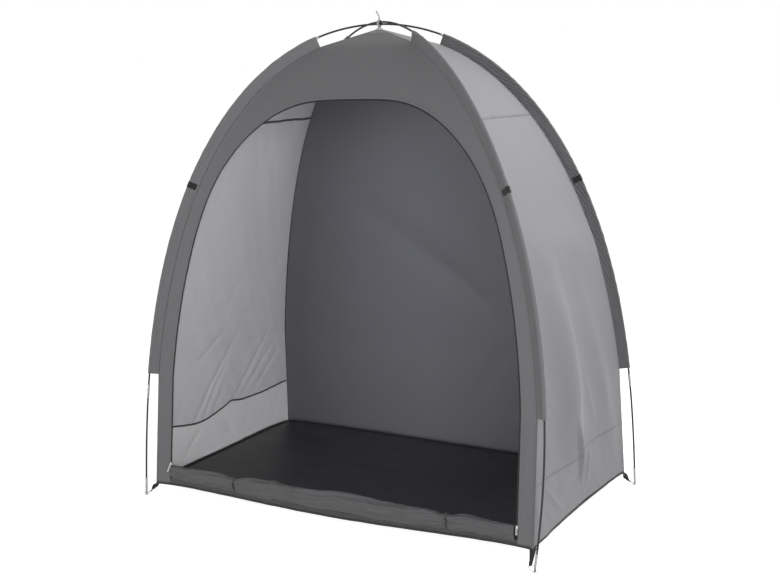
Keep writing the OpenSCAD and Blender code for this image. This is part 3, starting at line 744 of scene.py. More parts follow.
creases = {
    "billow": 0.0035,          # soft swell of a whole wall
    "drag": [0.0007, 0.0022, 0.0014, 0.0022],   # long pulls from corner to corner
    "pucker": 0.0011,          # short folds beside a seam
    "crumple": [0.0005, 0.0013, 0.0009, 0.0014],
    "dragAngle": [0.25, 0.5, 0.3, -0.5],
    # single folds: wall, across and level of both ends, width, height
    "folds": [
        (1, 0.395, 0.45, 0.495, 0.20, 0.011, 0.020), (1, 0.60, 0.26, 0.550, 0.13, 0.012, 0.007),
        (1, 0.30, 1.05, 0.40, 0.36, 0.120, 0.052), (1, 0.10, 1.24, 1.00, 1.10, 0.100, 0.020),
        (1, 0.70, 0.90, 0.86, 0.25, 0.070, 0.014), (1, 0.12, 0.26, 0.26, 0.12, 0.014, 0.005),
        (1, 0.58, 0.60, 0.66, 0.42, 0.020, 0.005),
        (3, 0.740, 0.30, 0.500, 0.57, 0.011, 0.0055), (3, 0.685, 0.29, 0.530, 0.50, 0.010, 0.0045),
        (3, 0.620, 0.28, 0.550, 0.39, 0.009, 0.0035), (3, 0.708, 0.57, 0.545, 0.68, 0.011, 0.0035),
        (3, 0.672, 0.83, 0.595, 0.90, 0.010, 0.0025), (3, 0.438, 0.32, 0.190, 0.57, 0.010, 0.0045),
        (3, 0.375, 0.32, 0.120, 0.53, 0.009, 0.004), (3, 0.295, 0.31, 0.085, 0.47, 0.009, 0.0035),
        (3, 0.80, 0.10, 0.70, 0.24, 0.016, 0.003), (3, 0.45, 0.10, 0.52, 0.22, 0.018, 0.0025),
        (2, 0.690, 1.20, 0.340, 0.79, 0.075, 0.014), (2, 0.500, 1.00, 0.360, 0.83, 0.030, 0.006),
        (2, 0.300, 0.60, 0.420, 0.25, 0.030, 0.004), (2, 0.860, 0.50, 0.780, 0.22, 0.024, 0.003),
        (0, 0.982, 0.62, 0.975, 0.16, 0.006, 0.002), (0, 0.018, 0.60, 0.02, 0.14, 0.006, 0.002),
    ],
}
seamLow = {1: 0.318, 3: 0.284}
seamHigh = {1: 1.690, 3: 1.670}
# where a seam wanders off its level: across, how wide and how far
seamWander = {
    1: [(0.08, 0.10, 0.006), (0.36, 0.16, -0.010), (1.0, 0.20, -0.014)],
    3: [(0.70, 0.13, -0.031), (0.48, 0.05, 0.017), (0.94, 0.08, 0.014), (0.20, 0.15, -0.007)],
}


def wallWide(wall, level):
    a = cornerSpace(wall, level, 0.0)
    b = cornerSpace((wall + 1) % 4, level, 0.0)
    return np.linalg.norm(b - a, axis=-1)


# How far the cloth stands out of its smooth surface
def creaseHeight(wall, across, level):
    across, level = np.broadcast_arrays(np.asarray(across, float), np.asarray(level, float))
    wide = wallWide(wall, level)
    s = (across - 0.5) * wide
    toCorner = np.minimum(across, 1 - across) * wide
    swell = creases["billow"] * layered(s * 1.7 + 3, level * 1.3, 11 + wall, 2)
    angle = creases["dragAngle"][wall]
    lean = s * math.cos(angle) + level * math.sin(angle)
    rise = level * math.cos(angle) - s * math.sin(angle)
    drag = creases["drag"][wall] * layered(lean * 13, rise * 1.8, 31 + wall, 2)
    drag = drag * (0.55 + 0.45 * noise(s * 1.4, level * 1.1 + 5, 41 + wall))
    beside = np.exp(-toCorner / 0.05)
    pucker = creases["pucker"] * noise(level * 34, toCorner * 8, 51 + wall) * beside
    seams = [seamLow[wall], seamHigh[wall]] if wall in seamLow else []
    for seam in seams:
        near = np.exp(-np.abs(level - seam) / 0.035)
        pucker = pucker + creases["pucker"] * 1.5 * noise(s * 30, level * 5, 61 + wall) * near
    hem = np.exp(-(level - pitch["hemZ"]) / 0.05)
    pucker = pucker + creases["pucker"] * 1.6 * noise(s * 20, level * 5, 71 + wall) * hem
    crumple = creases["crumple"][wall] * (creased(s * 7 + level * 3, level * 6, 81 + wall, 4) - 0.3)
    total = swell + drag + pucker + crumple
    for w, a0, l0, a1, l1, foldWide, foldHigh in creases["folds"]:
        if w != wall:
            continue
        x0, x1 = (a0 - 0.5) * wallWide(wall, np.array(l0)), (a1 - 0.5) * wallWide(wall, np.array(l1))
        d = np.array([x1 - x0, l1 - l0])
        t = ((s - x0) * d[0] + (level - l0) * d[1]) / (d @ d)
        off = (s - x0) * d[1] - (level - l0) * d[0]
        off = off / math.sqrt(d @ d) + 0.006 * noise(t * 3, 0.5, 91)
        fade = np.sin(math.pi * np.clip((t + 0.25) / 1.5, 0, 1))
        total = total + foldHigh * fade * np.exp(-(off / foldWide) ** 2)
    still = 1 - np.exp(-(toCorner / 0.012) ** 2)
    nearPeak = np.clip((pitch["height"] - level) / 0.12, 0, 1)
    return total * still * nearPeak


def clothPoint(wall, across, level, out=0.0):
    across, level = np.broadcast_arrays(np.asarray(across, float), np.asarray(level, float))
    moved = level
    for at, wide, rise in seamWander.get(wall, []):
        near = ((across - at) / wide) ** 2 + ((level - seamLow[wall]) / 0.09) ** 2
        moved = moved + rise * np.exp(-near)
    place = wallPoint(wall, across, moved)
    normal = wallNormal(wall, across, moved)
    return place + normal * (creaseHeight(wall, across, level) + out)[..., None], normal


def wallWeave(wall, across, level):
    across, level = np.broadcast_arrays(np.asarray(across, float), np.asarray(level, float))
    return np.stack([(across - 0.5) * wallWide(wall, level), level], -1)


# Walls

walls = {
    "clothThick": 0.0008,
    "cell": 0.0076,            # size of the mesh cells low on a side wall
    "cellHigh": 0.0145,        # and high on it, and all over the back
    "cornerLap": 0.0006,       # share of a wall left free at its corners
    "seamLap": 0.005,          # one band laps over the next at a seam
}


def addWallBand(name, wall, low, high, materials, slotName, replaced, lap):
    cell = walls["cellHigh"] if wall == 2 else walls["cell"]
    cols = int(wallWide(wall, np.array(max(low, 0.3))) / (cell if high < 1.9 else walls["cellHigh"]))
    fine = np.linspace(low, high, 200)
    climb = runOf(wallPoint(wall, 0.5, fine))
    cellHere = cell + (walls["cellHigh"] - cell) * np.clip((fine - 0.6) / 0.4, 0, 1)
    tally = np.concatenate([[0], np.cumsum(np.diff(climb) / cellHere[1:])])
    levels = np.interp(np.linspace(0, tally[-1], int(tally[-1]) + 2), tally, fine)
    # closer together at the corners
    share = np.linspace(0, 1, cols)
    share = share - 0.06 * np.sin(2 * math.pi * share)
    across = (walls["cornerLap"] + (1 - 2 * walls["cornerLap"]) * share)[None]
    level = levels[:, None]
    points, normal = clothPoint(wall, across, level)
    # the upper band's lower edge laps outside the lower band
    if lap:
        edge = np.exp(-((level - low) / walls["seamLap"]) ** 2)
        points = points + normal * (0.0011 * edge)[..., None]
    obj = addGrid(name, points, wallWeave(wall, across, level), materials)
    thicken(obj, walls["clothThick"], True)
    place(obj, slotName, *replaced)
    area = gridArea(wallPoint(wall, across, level))
    holder = "peak_loop" if high == pitch["height"] else "front_left_sleeve"
    clothSheet(obj, wallWide(wall, levels).max(), climb[-1], area)


lapEdge = walls["seamLap"]
for side, wall in (("right", 1), ("left", 3)):
    low, high = seamLow[wall], seamHigh[wall]
    bands = (
        ("lower", pitch["hemZ"], low + lapEdge, False),
        ("middle", low - lapEdge, high + lapEdge, True),
        ("top", high - lapEdge, pitch["height"], True),
    )
    for band, bottom, top, lap in bands:
        # the inner faces take the painted-light finishes
        inner = "sideInLow" if band == "lower" else "sideIn"
        addWallBand(f"{side}Wall.{band}", wall, bottom, top, ["sideOut", inner], "side_cloth",
                    [f"{side}_{band}_panel"], lap)
addWallBand("backWall", 2, pitch["hemZ"], pitch["height"], ["backOut", "backIn"], "back_cloth",
            ["back_lower_panel", "back_upper_panel"], False)
print("side and back walls made")


# Front wall, with its arched doorway

door = {
    "left": 0.080,             # cloth left beside the doorway
    "right": 0.066,
    "top": 1.775,
    "spring": 1.2,
    "widePower": 0.5,
    "highPower": 0.65,
    "sill": 0.022,
    "zipLow": 0.1334,          # where the open zip starts
    "sideTurn": 65,            # the arch below this turn faces the corner, above it the peak
    "jambCells": 100,
    "archCells": 190,
    "rows": 24,
}
doorFrom = door["left"] / pitch["length"]
doorTo = 1 - door["right"] / pitch["length"]
doorMiddle = (doorFrom + doorTo) / 2
doorHalf = (doorTo - doorFrom) / 2


def doorEdge(turn, by=0.0):
    c, s = np.cos(turn), np.maximum(np.sin(turn), 0)
    return np.stack([
        doorMiddle - (doorHalf - by / pitch["length"]) * np.sign(c) * np.abs(c) ** door["widePower"],
        door["spring"] + (door["top"] - by - door["spring"]) * s ** door["highPower"],
    ], -1)


# Turns of the arch at even steps along its edge
fineTurns = np.unique(np.concatenate([
    np.linspace(0, math.pi, 400),
    math.pi / 2 + np.sign(np.linspace(-1, 1, 401)) * np.abs(np.linspace(-1, 1, 401)) ** 2 * 0.4,
    np.linspace(0, 1, 200) ** 2 * 0.3,
    math.pi - np.linspace(0, 1, 200) ** 2 * 0.3,
]))
fineTurns = fineTurns[(fineTurns >= 0) & (fineTurns <= math.pi)]
fineEdge = doorEdge(fineTurns)
fineRun = runOf(wallPoint(0, fineEdge[:, 0], fineEdge[:, 1]))
archTurns = np.interp(np.linspace(0, fineRun[-1], door["archCells"] + 1), fineRun, fineTurns)


def topEdge(turn):
    side = math.radians(door["sideTurn"])
    lap = walls["cornerLap"]
    rise = pitch["height"] - door["spring"]
    middle = (turn - side) / (math.pi - 2 * side)
    left = paired(lap, door["spring"] + rise * turn / side)
    rightSide = paired(1 - lap, door["spring"] + rise * (math.pi - turn) / side)
    top = paired(np.clip(middle, lap, 1 - lap), pitch["height"])
    t = turn[:, None]
    return np.where(t < side, left, np.where(t > math.pi - side, rightSide, top))


# Up a jamb, over an arch and down the other jamb, as places across and up the front
def roundDoor(left, arch, right, jamb):
    return np.concatenate([paired(left, jamb), arch, paired(right, jamb[::-1])])


jamb = np.linspace(pitch["hemZ"], door["spring"], door["jambCells"] + 1)[:-1]
inner = roundDoor(doorFrom, doorEdge(archTurns), doorTo, jamb)
outer = roundDoor(walls["cornerLap"], topEdge(archTurns), 1 - walls["cornerLap"], jamb)
share = np.linspace(0, 1, door["rows"]) ** 1.25
grid = inner[None] + (outer - inner)[None] * share[:, None, None]
points, _ = clothPoint(0, grid[..., 0], grid[..., 1])
frontWeave = wallWeave(0, grid[..., 0], grid[..., 1])
frontWall = addGrid("frontWall", points, frontWeave, ["frontOut", "frontIn"])
thicken(frontWall, walls["clothThick"], True)
place(frontWall, "front_cloth", "front_left_panel", "front_right_panel", "front_top_panel")
frontArea = gridArea(wallPoint(0, grid[..., 0], grid[..., 1]))
# a strip that runs up one side of the doorway, over it and down the other side
stripWide = np.linalg.norm(points[-1] - points[0], axis=-1).max()
clothSheet(frontWall, stripWide, runOf(points[0])[-1], frontArea)

across = np.linspace(doorFrom + 0.0002, doorTo - 0.0002, 150)[None]
level = np.linspace(pitch["hemZ"], pitch["hemZ"] + door["sill"], 6)[:, None]
points, _ = clothPoint(0, across, level)
sill = addGrid("frontSill", points, wallWeave(0, across, level), ["sill"])
thicken(sill, 0.0016)
place(sill, "front_cloth", "front_sill")
clothSheet(sill, (doorTo - doorFrom) * pitch["length"], door["sill"], gridArea(points))
print("front wall made")


# Pole sleeves

sleeves = {
    "channel": 0.0066,         # radius of the channel round the pole
    "bandHalf": 0.0011,        # half the doubled band at the wall seam
    "openFrom": 125,           # the channel closes onto the band at this angle
    "cell": [0.0105, 0.0085, 0.0085, 0.0105],
    "wave": 0.0016,            # sideways wave of the band
    "pucker": 0.0008,
    "pleat": [0.0004, 0.0010, 0.0017, 0.0010],   # slanting folds across the band
    "foldShade": [0.12, 0.5, 0.6, 0.5],
    "pleatGap": 0.055,
    "pleatLean": 4.2,
    "thick": 0.0007,
    "seamIn": (0.0105, 0.0335),   # both stitch lines, from the pole's middle
    "flatCols": 15,
    "arcCols": 13,
}


sideOf = [np.array([-math.sin(a), math.cos(a), 0]) for a in legAngle]
sleeveLines, sleeveEndLines = [], []
for leg, legName in enumerate(legNames):
    low, top = pitch["sleeveLow"][leg], pitch["sleeveTop"]
    fineLevels = np.linspace(low, top, 400)
    fine = toSpace(leg, legPoint(leg, levelTurn(fineLevels)))
    long = runOf(fine)[-1]
    rows = int(long / sleeves["cell"][leg])
    levels = np.interp(np.linspace(0, long, rows), runOf(fine), fineLevels)
    run = np.linspace(0, long, rows)
    turns = levelTurn(levels)
    p, out = legPoint(leg, turns), outOf(legUp(leg, turns))
    openAt = math.radians(sleeves["openFrom"])
    r = sleeves["channel"]
    flatStart = np.array([-(pitch["sleeveWide"] + pitch["clothDeep"] + 0.0025), sleeves["bandHalf"]])
    tangentPoint = np.array([r * math.cos(openAt), r * math.sin(openAt)])
    flat = flatStart + (tangentPoint - flatStart) * np.linspace(0, 1, sleeves["flatCols"])[:-1, None]
    arc = np.linspace(openAt, -openAt, sleeves["arcCols"])
    arcPoints = np.stack([r * np.cos(arc), r * np.sin(arc)], -1)
    section = np.concatenate([flat, arcPoints, (flat * [1, -1])[::-1]])
    # how far each column is in from the pole's middle
    q = section[None]
    reach = -q[..., 0]
    band = np.clip((reach - 0.001) / 0.02, 0, 1) * np.clip((pitch["sleeveWide"] - reach) / 0.008, 0, 1)
    v = run[:, None]
    wave = sleeves["wave"] * layered(v * 9, reach * 14, 101 + leg, 2) * band
    pucker = sleeves["pucker"] * noise(v * 45, reach * 18, 111 + leg)
    phase = (v - sleeves["pleatLean"] * reach) / sleeves["pleatGap"]
    phase = phase + 1.1 * noise(v * 7, reach * 9, 115 + leg)
    shown = np.clip(0.55 + 0.9 * noise(v * 4.5, reach * 4, 118 + leg), 0, 1)
    pucker = pucker + sleeves["pleat"][leg] * np.sin(2 * math.pi * phase) * shown
    pucker = pucker * (0.35 + 0.65 * np.clip((reach + 0.008) / 0.03, 0, 1))
    gather = 0.0007 * creased(v * 40 + reach * 20, reach * 10, 121 + leg, 4)
    sideSign = np.sign(q[..., 1])
    roundness = np.hypot(q[..., 0], q[..., 1])
    # the channel swells, and the band beyond it moves to its own side
    inChannel = reach < 0.006
    grow = 1 + (pucker + gather) / np.maximum(roundness, 0.004) * inChannel
    bulge = np.maximum(pucker * 0.9 + gather, -0.0005) * ~inChannel
    flare = 0.00025 * np.exp(-v / 0.006)
    sideways = q[..., 1] * grow + wave + sideSign * bulge + sideSign * flare
    outwards = q[..., 0] * np.where(inChannel, grow, 1)
    points = toSpace(leg, p[:, None] + out[:, None] * outwards[..., None], sideways)
    sectionRun = runOf(section)
    weave = paired(sectionRun[None], run[:, None])
    # the back sleeves take the darker painted-shade copy of the sleeve cloth
    obj = addGrid("sleeve." + legName, points, weave, ["sleeveBack" if leg >= 2 else "sleeve"])
    # painted shade for the pleat valleys, which the sleeve's finish reads
    fold = np.clip(-np.sin(2 * math.pi * phase), 0, 1) ** 2 * (0.3 + 0.7 * shown)
    fold = fold * np.clip((reach + 0.004) / 0.014, 0, 1)
    layer = obj.data.attributes.new("fold", "FLOAT", "POINT")
    layer.data.foreach_set("value", (fold * sleeves["foldShade"][leg]).astype(np.float32).ravel())
    thicken(obj, sleeves["thick"])
    place(obj, "sleeve_cloth", f"{legName}_sleeve")
    clothSheet(obj, sectionRun[-1], long, None)
    for sign in (1, -1):
        for seamIn in sleeves["seamIn"]:
            k = int(np.argmin(np.abs(reach[0] - seamIn) + (sign * section[:, 1] < 0)))
            outward = np.broadcast_to(sideOf[leg] * sign, (rows, 3))
            sleeveLines.append((points[:, k] + outward * 0.0004, outward))
        for row in (1, rows - 2):
            cols = np.arange(len(section))[(sign * section[:, 1] > 0) & (section[:, 0] < 0)]
            lineOut = np.broadcast_to(sideOf[leg] * sign, (len(cols), 3))
            sleeveEndLines.append((points[row, cols] + lineOut * stitch["off"], lineOut))
sleeveStitches = addRow("sleeveStitches", sleeveLines + sleeveEndLines,
                        0.0054, 0.0042, stitch["thick"], "thread")
place(sleeveStitches, "sleeve_cloth")
print("sleeves made")


# Poles, ferrules and feet

poles = {
    "rod": 0.004,
    "ferruleLong": 0.060,
    "crownHalf": 0.290,
    "section": 0.590,
    "lastUp": [0, 0.13, 0, 0],  # how much higher the last ferrule sits
    "tipLong": 0.070,
    "tipZ": 0.014,
    "wire": 0.0013,
    "eye": 0.005,
    "pinLong": 0.048,
    "ring": 0.0145,
    "ringTilt": math.radians(32),
    "jointGap": 0.002,         # half the space between two rods inside a ferrule
    "tipLap": 0.014,           # how far a rod reaches into its foot tip
    "sides": 16,
    "spin": 24,
    "legSteps": 150,
    "crownSteps": 60,
}
fineLeg = np.linspace(0, math.pi / 2, 1200)
legRuns = [runOf(legPoint(leg, fineLeg)) for leg in range(4)]


def runTurn(leg, run):
    return np.interp(run, legRuns[leg], fineLeg)


def ferruleRuns(leg):
    runs = [poles["crownHalf"] + k * poles["section"] for k in range(4)]
    return runs[:3] + [runs[3] - poles["lastUp"][leg]]


def tipFrame(leg):
    low = legPoint(leg, levelTurn(poles["tipZ"]))
    high = legPoint(leg, levelTurn(poles["tipZ"] + poles["tipLong"]))
    return low, unit(high - low)


# Turned outlines in millimetres: radius, distance
ferruleProfile = np.array([
    [4.1, 0], [4.7, 0], [5.0, 0.5], [5.0, 5.5], [4.62, 6.3], [4.62, 7.5], [5.0, 8.3], [5.0, 29],
    [4.8, 29.5], [4.8, 30.5], [5.0, 31], [5.0, 51.7], [4.62, 52.5], [4.62, 53.7], [5.0, 54.5],
    [5.0, 59.5], [4.7, 60], [4.1, 60], [4.1, 58], [4.1, 2],
]) / 1000
tipProfile = np.array([
    [1.9, 0], [4.3, 0], [4.9, 0.6], [4.9, 20], [5.0, 21], [5.0, 57], [4.6, 57.8], [4.6, 59], [5.0, 59.8],
    [5.0, 69.2], [4.5, 70], [4.1, 70], [4.1, 52], [1.9, 50], [1.9, 2],
]) / 1000
for leg, legName in enumerate(legNames):
    lowPoint, lowUp = tipFrame(leg)
    parts = []
    for run in ferruleRuns(leg):
        low = legPoint(leg, runTurn(leg, run + poles["ferruleLong"] / 2))
        high = legPoint(leg, runTurn(leg, run - poles["ferruleLong"] / 2))
        base, axis = toSpace(leg, low), toSpace(leg, unit(high - low))
        scaled = ferruleProfile * [1, np.linalg.norm(high - low) / poles["ferruleLong"]]
        parts.append(spunPoints(base, axis, scaled, poles["spin"]))
    parts.append(spunPoints(toSpace(leg, lowPoint), toSpace(leg, lowUp), tipProfile, poles["spin"]))
    points, quads = joined(parts)
    obj = addMesh("ferrules." + legName, points, quads, ["ferrule"])
    place(obj, "ferrule", f"{legName}_ferrules")
    # the rod of a leg, from its first ferrule to its foot tip
    endTurn = levelTurn(poles["tipZ"] + poles["tipLong"] - poles["tipLap"])
    turns = np.linspace(runTurn(leg, poles["crownHalf"] + poles["jointGap"]), endTurn, poles["legSteps"])
    path = toSpace(leg, legPoint(leg, turns))
    rod = addTube("rod." + legName, path, poles["rod"], "rod", poles["sides"])
    place(rod, "pole", f"{legName}_pole")
# the crown rods run over the peak, from one ferrule to the opposite one
crownEnd, crownSteps = poles["crownHalf"] - poles["jointGap"], poles["crownSteps"]
for leg, crownName in ((0, "pole_crown_a"), (1, "pole_crown_b")):
    near = toSpace(leg, legPoint(leg, np.linspace(runTurn(leg, crownEnd), 0, crownSteps)))
    farTurns = np.linspace(0, runTurn(leg + 2, crownEnd), crownSteps)[1:]
    path = np.concatenate([near, toSpace(leg + 2, legPoint(leg + 2, farTurns))])
    obj = addTube("rod." + crownName[-7:], path, poles["rod"], "rod", poles["sides"])
    place(obj, "pole", crownName)

circleTurns = np.linspace(0, 2 * math.pi, 49)[:-1]
ringPlaces = []
for leg, legName in enumerate(legNames):
    low, upward = tipFrame(leg)
    eyeZ = poles["eye"] + poles["wire"]
    eye = low - upward * (poles["tipZ"] - eyeZ) / upward[1]
    tilt = poles["ringTilt"]
    inwards = np.array([-math.cos(tilt), math.sin(tilt)])
    centre = eye + inwards * poles["ring"]
    ringPlaces.append(eye + inwards * 2 * poles["ring"])
    inPlane = centre + inwards * np.cos(circleTurns)[:, None] * poles["ring"]
    ring = toSpace(leg, inPlane, np.sin(circleTurns) * poles["ring"])
    obj = addTube("ring." + legName, ring, poles["wire"], "wire", 12, sideOf[leg], ring=True)
    place(obj, "wire", f"{legName}_ring")
    # the pin: one wire, bent into an eye below its shank
    out = outOf(upward)
    bend = np.linspace(math.radians(12), math.radians(372), 44)
    loopPoints = eye + (upward * np.cos(bend)[:, None] + out * np.sin(bend)[:, None]) * poles["eye"]
    loopSide = np.linspace(0.0001, 0.0027, 44)
    shank = eye + upward * np.linspace(poles["pinLong"] + 0.005, 0.0085, 12)[:, None]
    shank = np.concatenate([shank, [eye + upward * 0.0065 + out * 0.0004]])
    tail = loopPoints[-1] + (out * 0.9 + upward * 0.1) * np.linspace(0.002, 0.011, 5)[:, None]
    path = np.concatenate([shank, loopPoints, tail])
    sideways = np.concatenate([np.zeros(len(shank)), loopSide, np.full(5, 0.0029)])
    obj = addTube("pin." + legName, toSpace(leg, path, sideways), poles["wire"], "wire", 10, sideOf[leg])
    place(obj, "wire", f"{legName}_pin")
print("poles and feet made")


# Hem, corner straps and sleeve tabs

hem = {
    "high": 0.009,
    "drop": 0.0003,
    "deepOut": 0.0006,
    "deepIn": 0.0066,
    "round": 0.0035,
    "thick": 0.0006,
    "stitchDown": 0.0018,      # its stitch line, below its upper edge
    "cols": (170, 100, 170, 100),
}


# The hem line all the way round: places in order with their outward directions
def hemLoop(deep, drop):
    rings, outs = [], []
    for wall in range(4):
        across = np.linspace(0, 1, hem["cols"][wall] + 1)[:-1]
        across = across - 0.03 * np.sin(2 * math.pi * across)
        p = wallPoint(wall, across, pitch["hemZ"], deep)
        out = wallNormal(wall, across, np.full(across.shape, pitch["hemZ"] + 0.002))
        out = unit(out * [1, 1, 0])
        p = p + out * (creaseHeight(wall, across, pitch["hemZ"]) * 0.8)[..., None]
        p[..., 2] -= drop
        rings.append(p)
        outs.append(out)
    return np.concatenate(rings), np.concatenate(outs)


# A U-shaped fold: down the outside, round, up the inside
straight = hem["high"] - hem["round"]
middle, half = (hem["deepOut"] + hem["deepIn"]) / 2, (hem["deepIn"] - hem["deepOut"]) / 2
profile = [(hem["deepOut"], drop) for drop in np.linspace(hem["drop"], straight, 4)]
profile += [(middle - half * math.cos(a), straight + hem["round"] * math.sin(a))
            for a in np.linspace(0, math.pi, 7)[1:-1]]
profile += [(hem["deepIn"], drop) for drop in np.linspace(straight, hem["drop"], 4)]
points = np.stack([hemLoop(deep, drop)[0] for deep, drop in reversed(profile)])
wide = runOf(np.array(profile))
loopRun = runOf(np.concatenate([points[0], points[0][:1]]))
weave = paired(wide[:, None], loopRun[None])
hemBinding = addGrid("hemBinding", points, weave, ["binding"], closed=True)
thicken(hemBinding, hem["thick"])
place(hemBinding, "binding", "hem_binding")
clothSheet(hemBinding, wide[-1], loopRun[-1], None)
lineOut, lineDirection = hemLoop(hem["deepOut"], hem["drop"] + hem["stitchDown"])
hemStitches = addRow("hemStitches", [(lineOut + lineDirection * 0.0004, lineDirection)],
                     0.0042, 0.0032, stitch["thick"], "thread", seed=3)
place(hemStitches, "binding")

straps = {
    "wide": 0.034,
    "narrow": 0.012,
    "thick": 0.0014,
    "wrap": 0.0022,            # how far it stands off the ring's wire
    "back": 0.016,             # turned back under itself
    "under": 0.012,
    "twist": [1.0, 0, 1.0, 0],
}
strapStitches = []
for leg, legName in enumerate(legNames):
    start = np.array([halfDiagonal - pitch["cornerIn"][leg] - 0.003,
                      pitch["hemZ"] + pitch["cornerUp"][leg] - 0.006])
    wireAt = ringPlaces[leg]
    d = unit(wireAt - start)
    n = np.array([-d[1], d[0]])
    n = n if n[1] > 0 else -n
    wrap = straps["wrap"]
    bend = np.linspace(0, math.pi, 9)
    around = wireAt + n * np.cos(bend)[:, None] * wrap + d * np.sin(bend)[:, None] * wrap
    inner1 = start - d * straps["under"]
    path = np.concatenate([
        inner1 + (wireAt + n * wrap - inner1) * np.linspace(0, 0.94, 12)[:, None],
        around,
        wireAt - n * wrap - d * np.linspace(0.004, straps["back"], 6)[:, None] + n * 0.0006,
    ])
    toRing = np.clip(((path - inner1) @ d) / np.linalg.norm(wireAt - inner1), 0, 1)
    wides = straps["wide"] + (straps["narrow"] - straps["wide"]) * toRing
    spacePath = toSpace(leg, path, pitch["cornerAside"][leg] * (1 - toRing))
    twist = (straps["twist"][leg] * np.sin(math.pi * np.clip(toRing * 1.1, 0, 1)))[:, None]
    side = sideOf[leg] * np.cos(twist) + toSpace(leg, n) * np.sin(twist)
    points, weave = stripPoints(spacePath, side, wides)
    obj = addGrid("cornerStrap." + legName, points, weave, ["webbing"])
    thicken(obj, straps["thick"], offset=0)
    place(obj, "webbing")
    clothSheet(obj, straps["wide"], runOf(path)[-1], gridArea(points))
    if leg == 0:
        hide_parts("corner_straps")
    for share in (0.60, 0.84):
        across = np.linspace(-0.5, 0.5, 6) * straps["narrow"]
        middle = wireAt - d * straps["back"] * share + n * (wrap + 0.0010)
        row = toSpace(leg, np.broadcast_to(middle, (6, 2)), across)
        strapStitches.append((row, np.broadcast_to(toSpace(leg, n), (6, 3))))
strapRows = addRow("strapStitches", strapStitches, 0.0026, 0.002, stitch["thick"], "thread", seed=5)
place(strapRows, "webbing")

tabs = {
    "level": [1.4, 1.418, 1.393, 1.4],
    "high": 0.026,
    "over": 0.0026,            # outside the sleeve's channel
    "inner": 0.0315,
    "half": 0.0054,
    "thick": 0.0012,
}
for leg, legName in enumerate(legNames):
    mid = levelTurn(tabs["level"][leg])
    p, upward = legPoint(leg, mid), legUp(leg, mid)
    out = outOf(upward)
    r = sleeves["channel"] + tabs["over"]
    angles = np.linspace(1, -1, 17) * math.radians(sleeves["openFrom"])
    head = np.array([[-tabs["inner"] + k * 0.0045, tabs["half"] + 0.0003 * k] for k in range(5)])
    section = np.concatenate([head, np.stack([r * np.cos(angles), r * np.sin(angles)], -1),
                              (head * [1, -1])[::-1]])
    steps = np.linspace(-0.5, 0.5, 7) * tabs["high"]
    places = p[None] + upward[None] * steps[:, None]
    ripple = 1 + 0.03 * noise(steps[:, None] * 300, np.arange(len(section))[None] * 0.4, 131 + leg)
    points = toSpace(leg, places[:, None] + out[None, None] * (section[None, :, 0] * ripple)[..., None],
                     section[None, :, 1] * ripple)
    sectionRun = runOf(section)
    weave = paired(steps[:, None], sectionRun[None])
    obj = addGrid("sleeveTab." + legName, points, weave, ["webbing"])
    thicken(obj, tabs["thick"], offset=1)
    place(obj, "webbing")
    clothSheet(obj, tabs["high"], sectionRun[-1], None)
    if leg == 0:
        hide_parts("sleeve_tabs")
print("hem, straps and tabs made")


# Seams of the walls

# the tape stands off the cloth, and its two stitch lines run this far from its middle
tape = {"wide": 0.010, "thick": 0.0006, "off": 0.0014, "stitchAt": 0.0032, "cols": 110}
seamStitchLines, sideStitchLines = [], []
for wall, sideName in ((1, "right"), (3, "left")):
    for seam, seamName in ((seamLow[wall], "low"), (seamHigh[wall], "high")):
        across = np.linspace(0.006, 0.994, tape["cols"])
        wander = 0.0014 * noise(across * 9, seam * 7, 141 + wall)
        rows = []
        for t in np.linspace(-0.5, 0.5, 4):
            p, normal = clothPoint(wall, across, seam + t * tape["wide"] + wander)
            cup = tape["off"] * (1 - (2 * t) ** 2)
            rows.append(p - normal * (walls["clothThick"] + tape["off"] + cup))
        points = np.stack(rows)[::-1]
        middle = runOf(points[1])
        weave = paired(np.linspace(0, tape["wide"], 4)[:, None], middle[None])
        obj = addGrid(f"seamTape.{sideName}.{seamName}", points, weave, ["seamTape"])
        thicken(obj, tape["thick"])
        place(obj, "binding")
        if (sideName, seamName) == ("right", "low"):
            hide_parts("side_seam_tapes")
        clothSheet(obj, tape["wide"], middle[-1], None)
        for off in (-tape["stitchAt"], tape["stitchAt"]):
            p, normal = clothPoint(wall, across, np.full(tape["cols"], seam + off), 0.0012)
            sideStitchLines.append((p + normal * stitch["off"], normal))
            p, normal = clothPoint(wall, across, seam + off + wander)
            seamStitchLines.append((p - normal * (walls["clothThick"] + 0.0032), -normal))
for rowName, lines, material, slotName in (
        ("sideSeamStitches", sideStitchLines, "paleThread", "side_cloth"),
        ("tapeStitches", seamStitchLines, "darkThread", "binding")):
    place(addRow(rowName, lines, stitch["gap"], stitch["long"], stitch["thick"], material), slotName)
# Two rows down each corner, where a wall joins the next one
cornerLines = []
for wall in range(4):
    wallLevels = np.linspace(pitch["hemZ"] + 0.01, pitch["height"] - 0.03, 240)
    wideHere = wallWide(wall, wallLevels)
    for end in (0, 1):
        inset = 0.005 / np.maximum(wideHere, 0.03)
        across = inset if end == 0 else 1 - inset
        p, normal = clothPoint(wall, across, wallLevels)
        cornerLines.append((p + normal * stitch["off"], normal))
for rowName, lines, material, slotName in (
        ("long", cornerLines[0:2] + cornerLines[4:6], "thread", "front_cloth"),
        ("side", cornerLines[2:4] + cornerLines[6:8], "paleThread", "side_cloth")):
    place(addRow("cornerStitches." + rowName, lines, stitch["gap"], stitch["long"], stitch["thick"],
                 material), slotName)
print("seams made")


# Zip round the doorway

zipSizes = {
    "tape": 0.0062,            # how far the tape reaches into the doorway
    "wide": 0.0084,            # the tape, measured across its rows
    "flat": 0.0104,            # and with its sewn edge, laid out flat
    "thick": 0.0006,
    "teethGap": 0.0021,
    "tooth": 0.0030,
    "toothThick": 0.0013,
    "jambCells": 60,
}


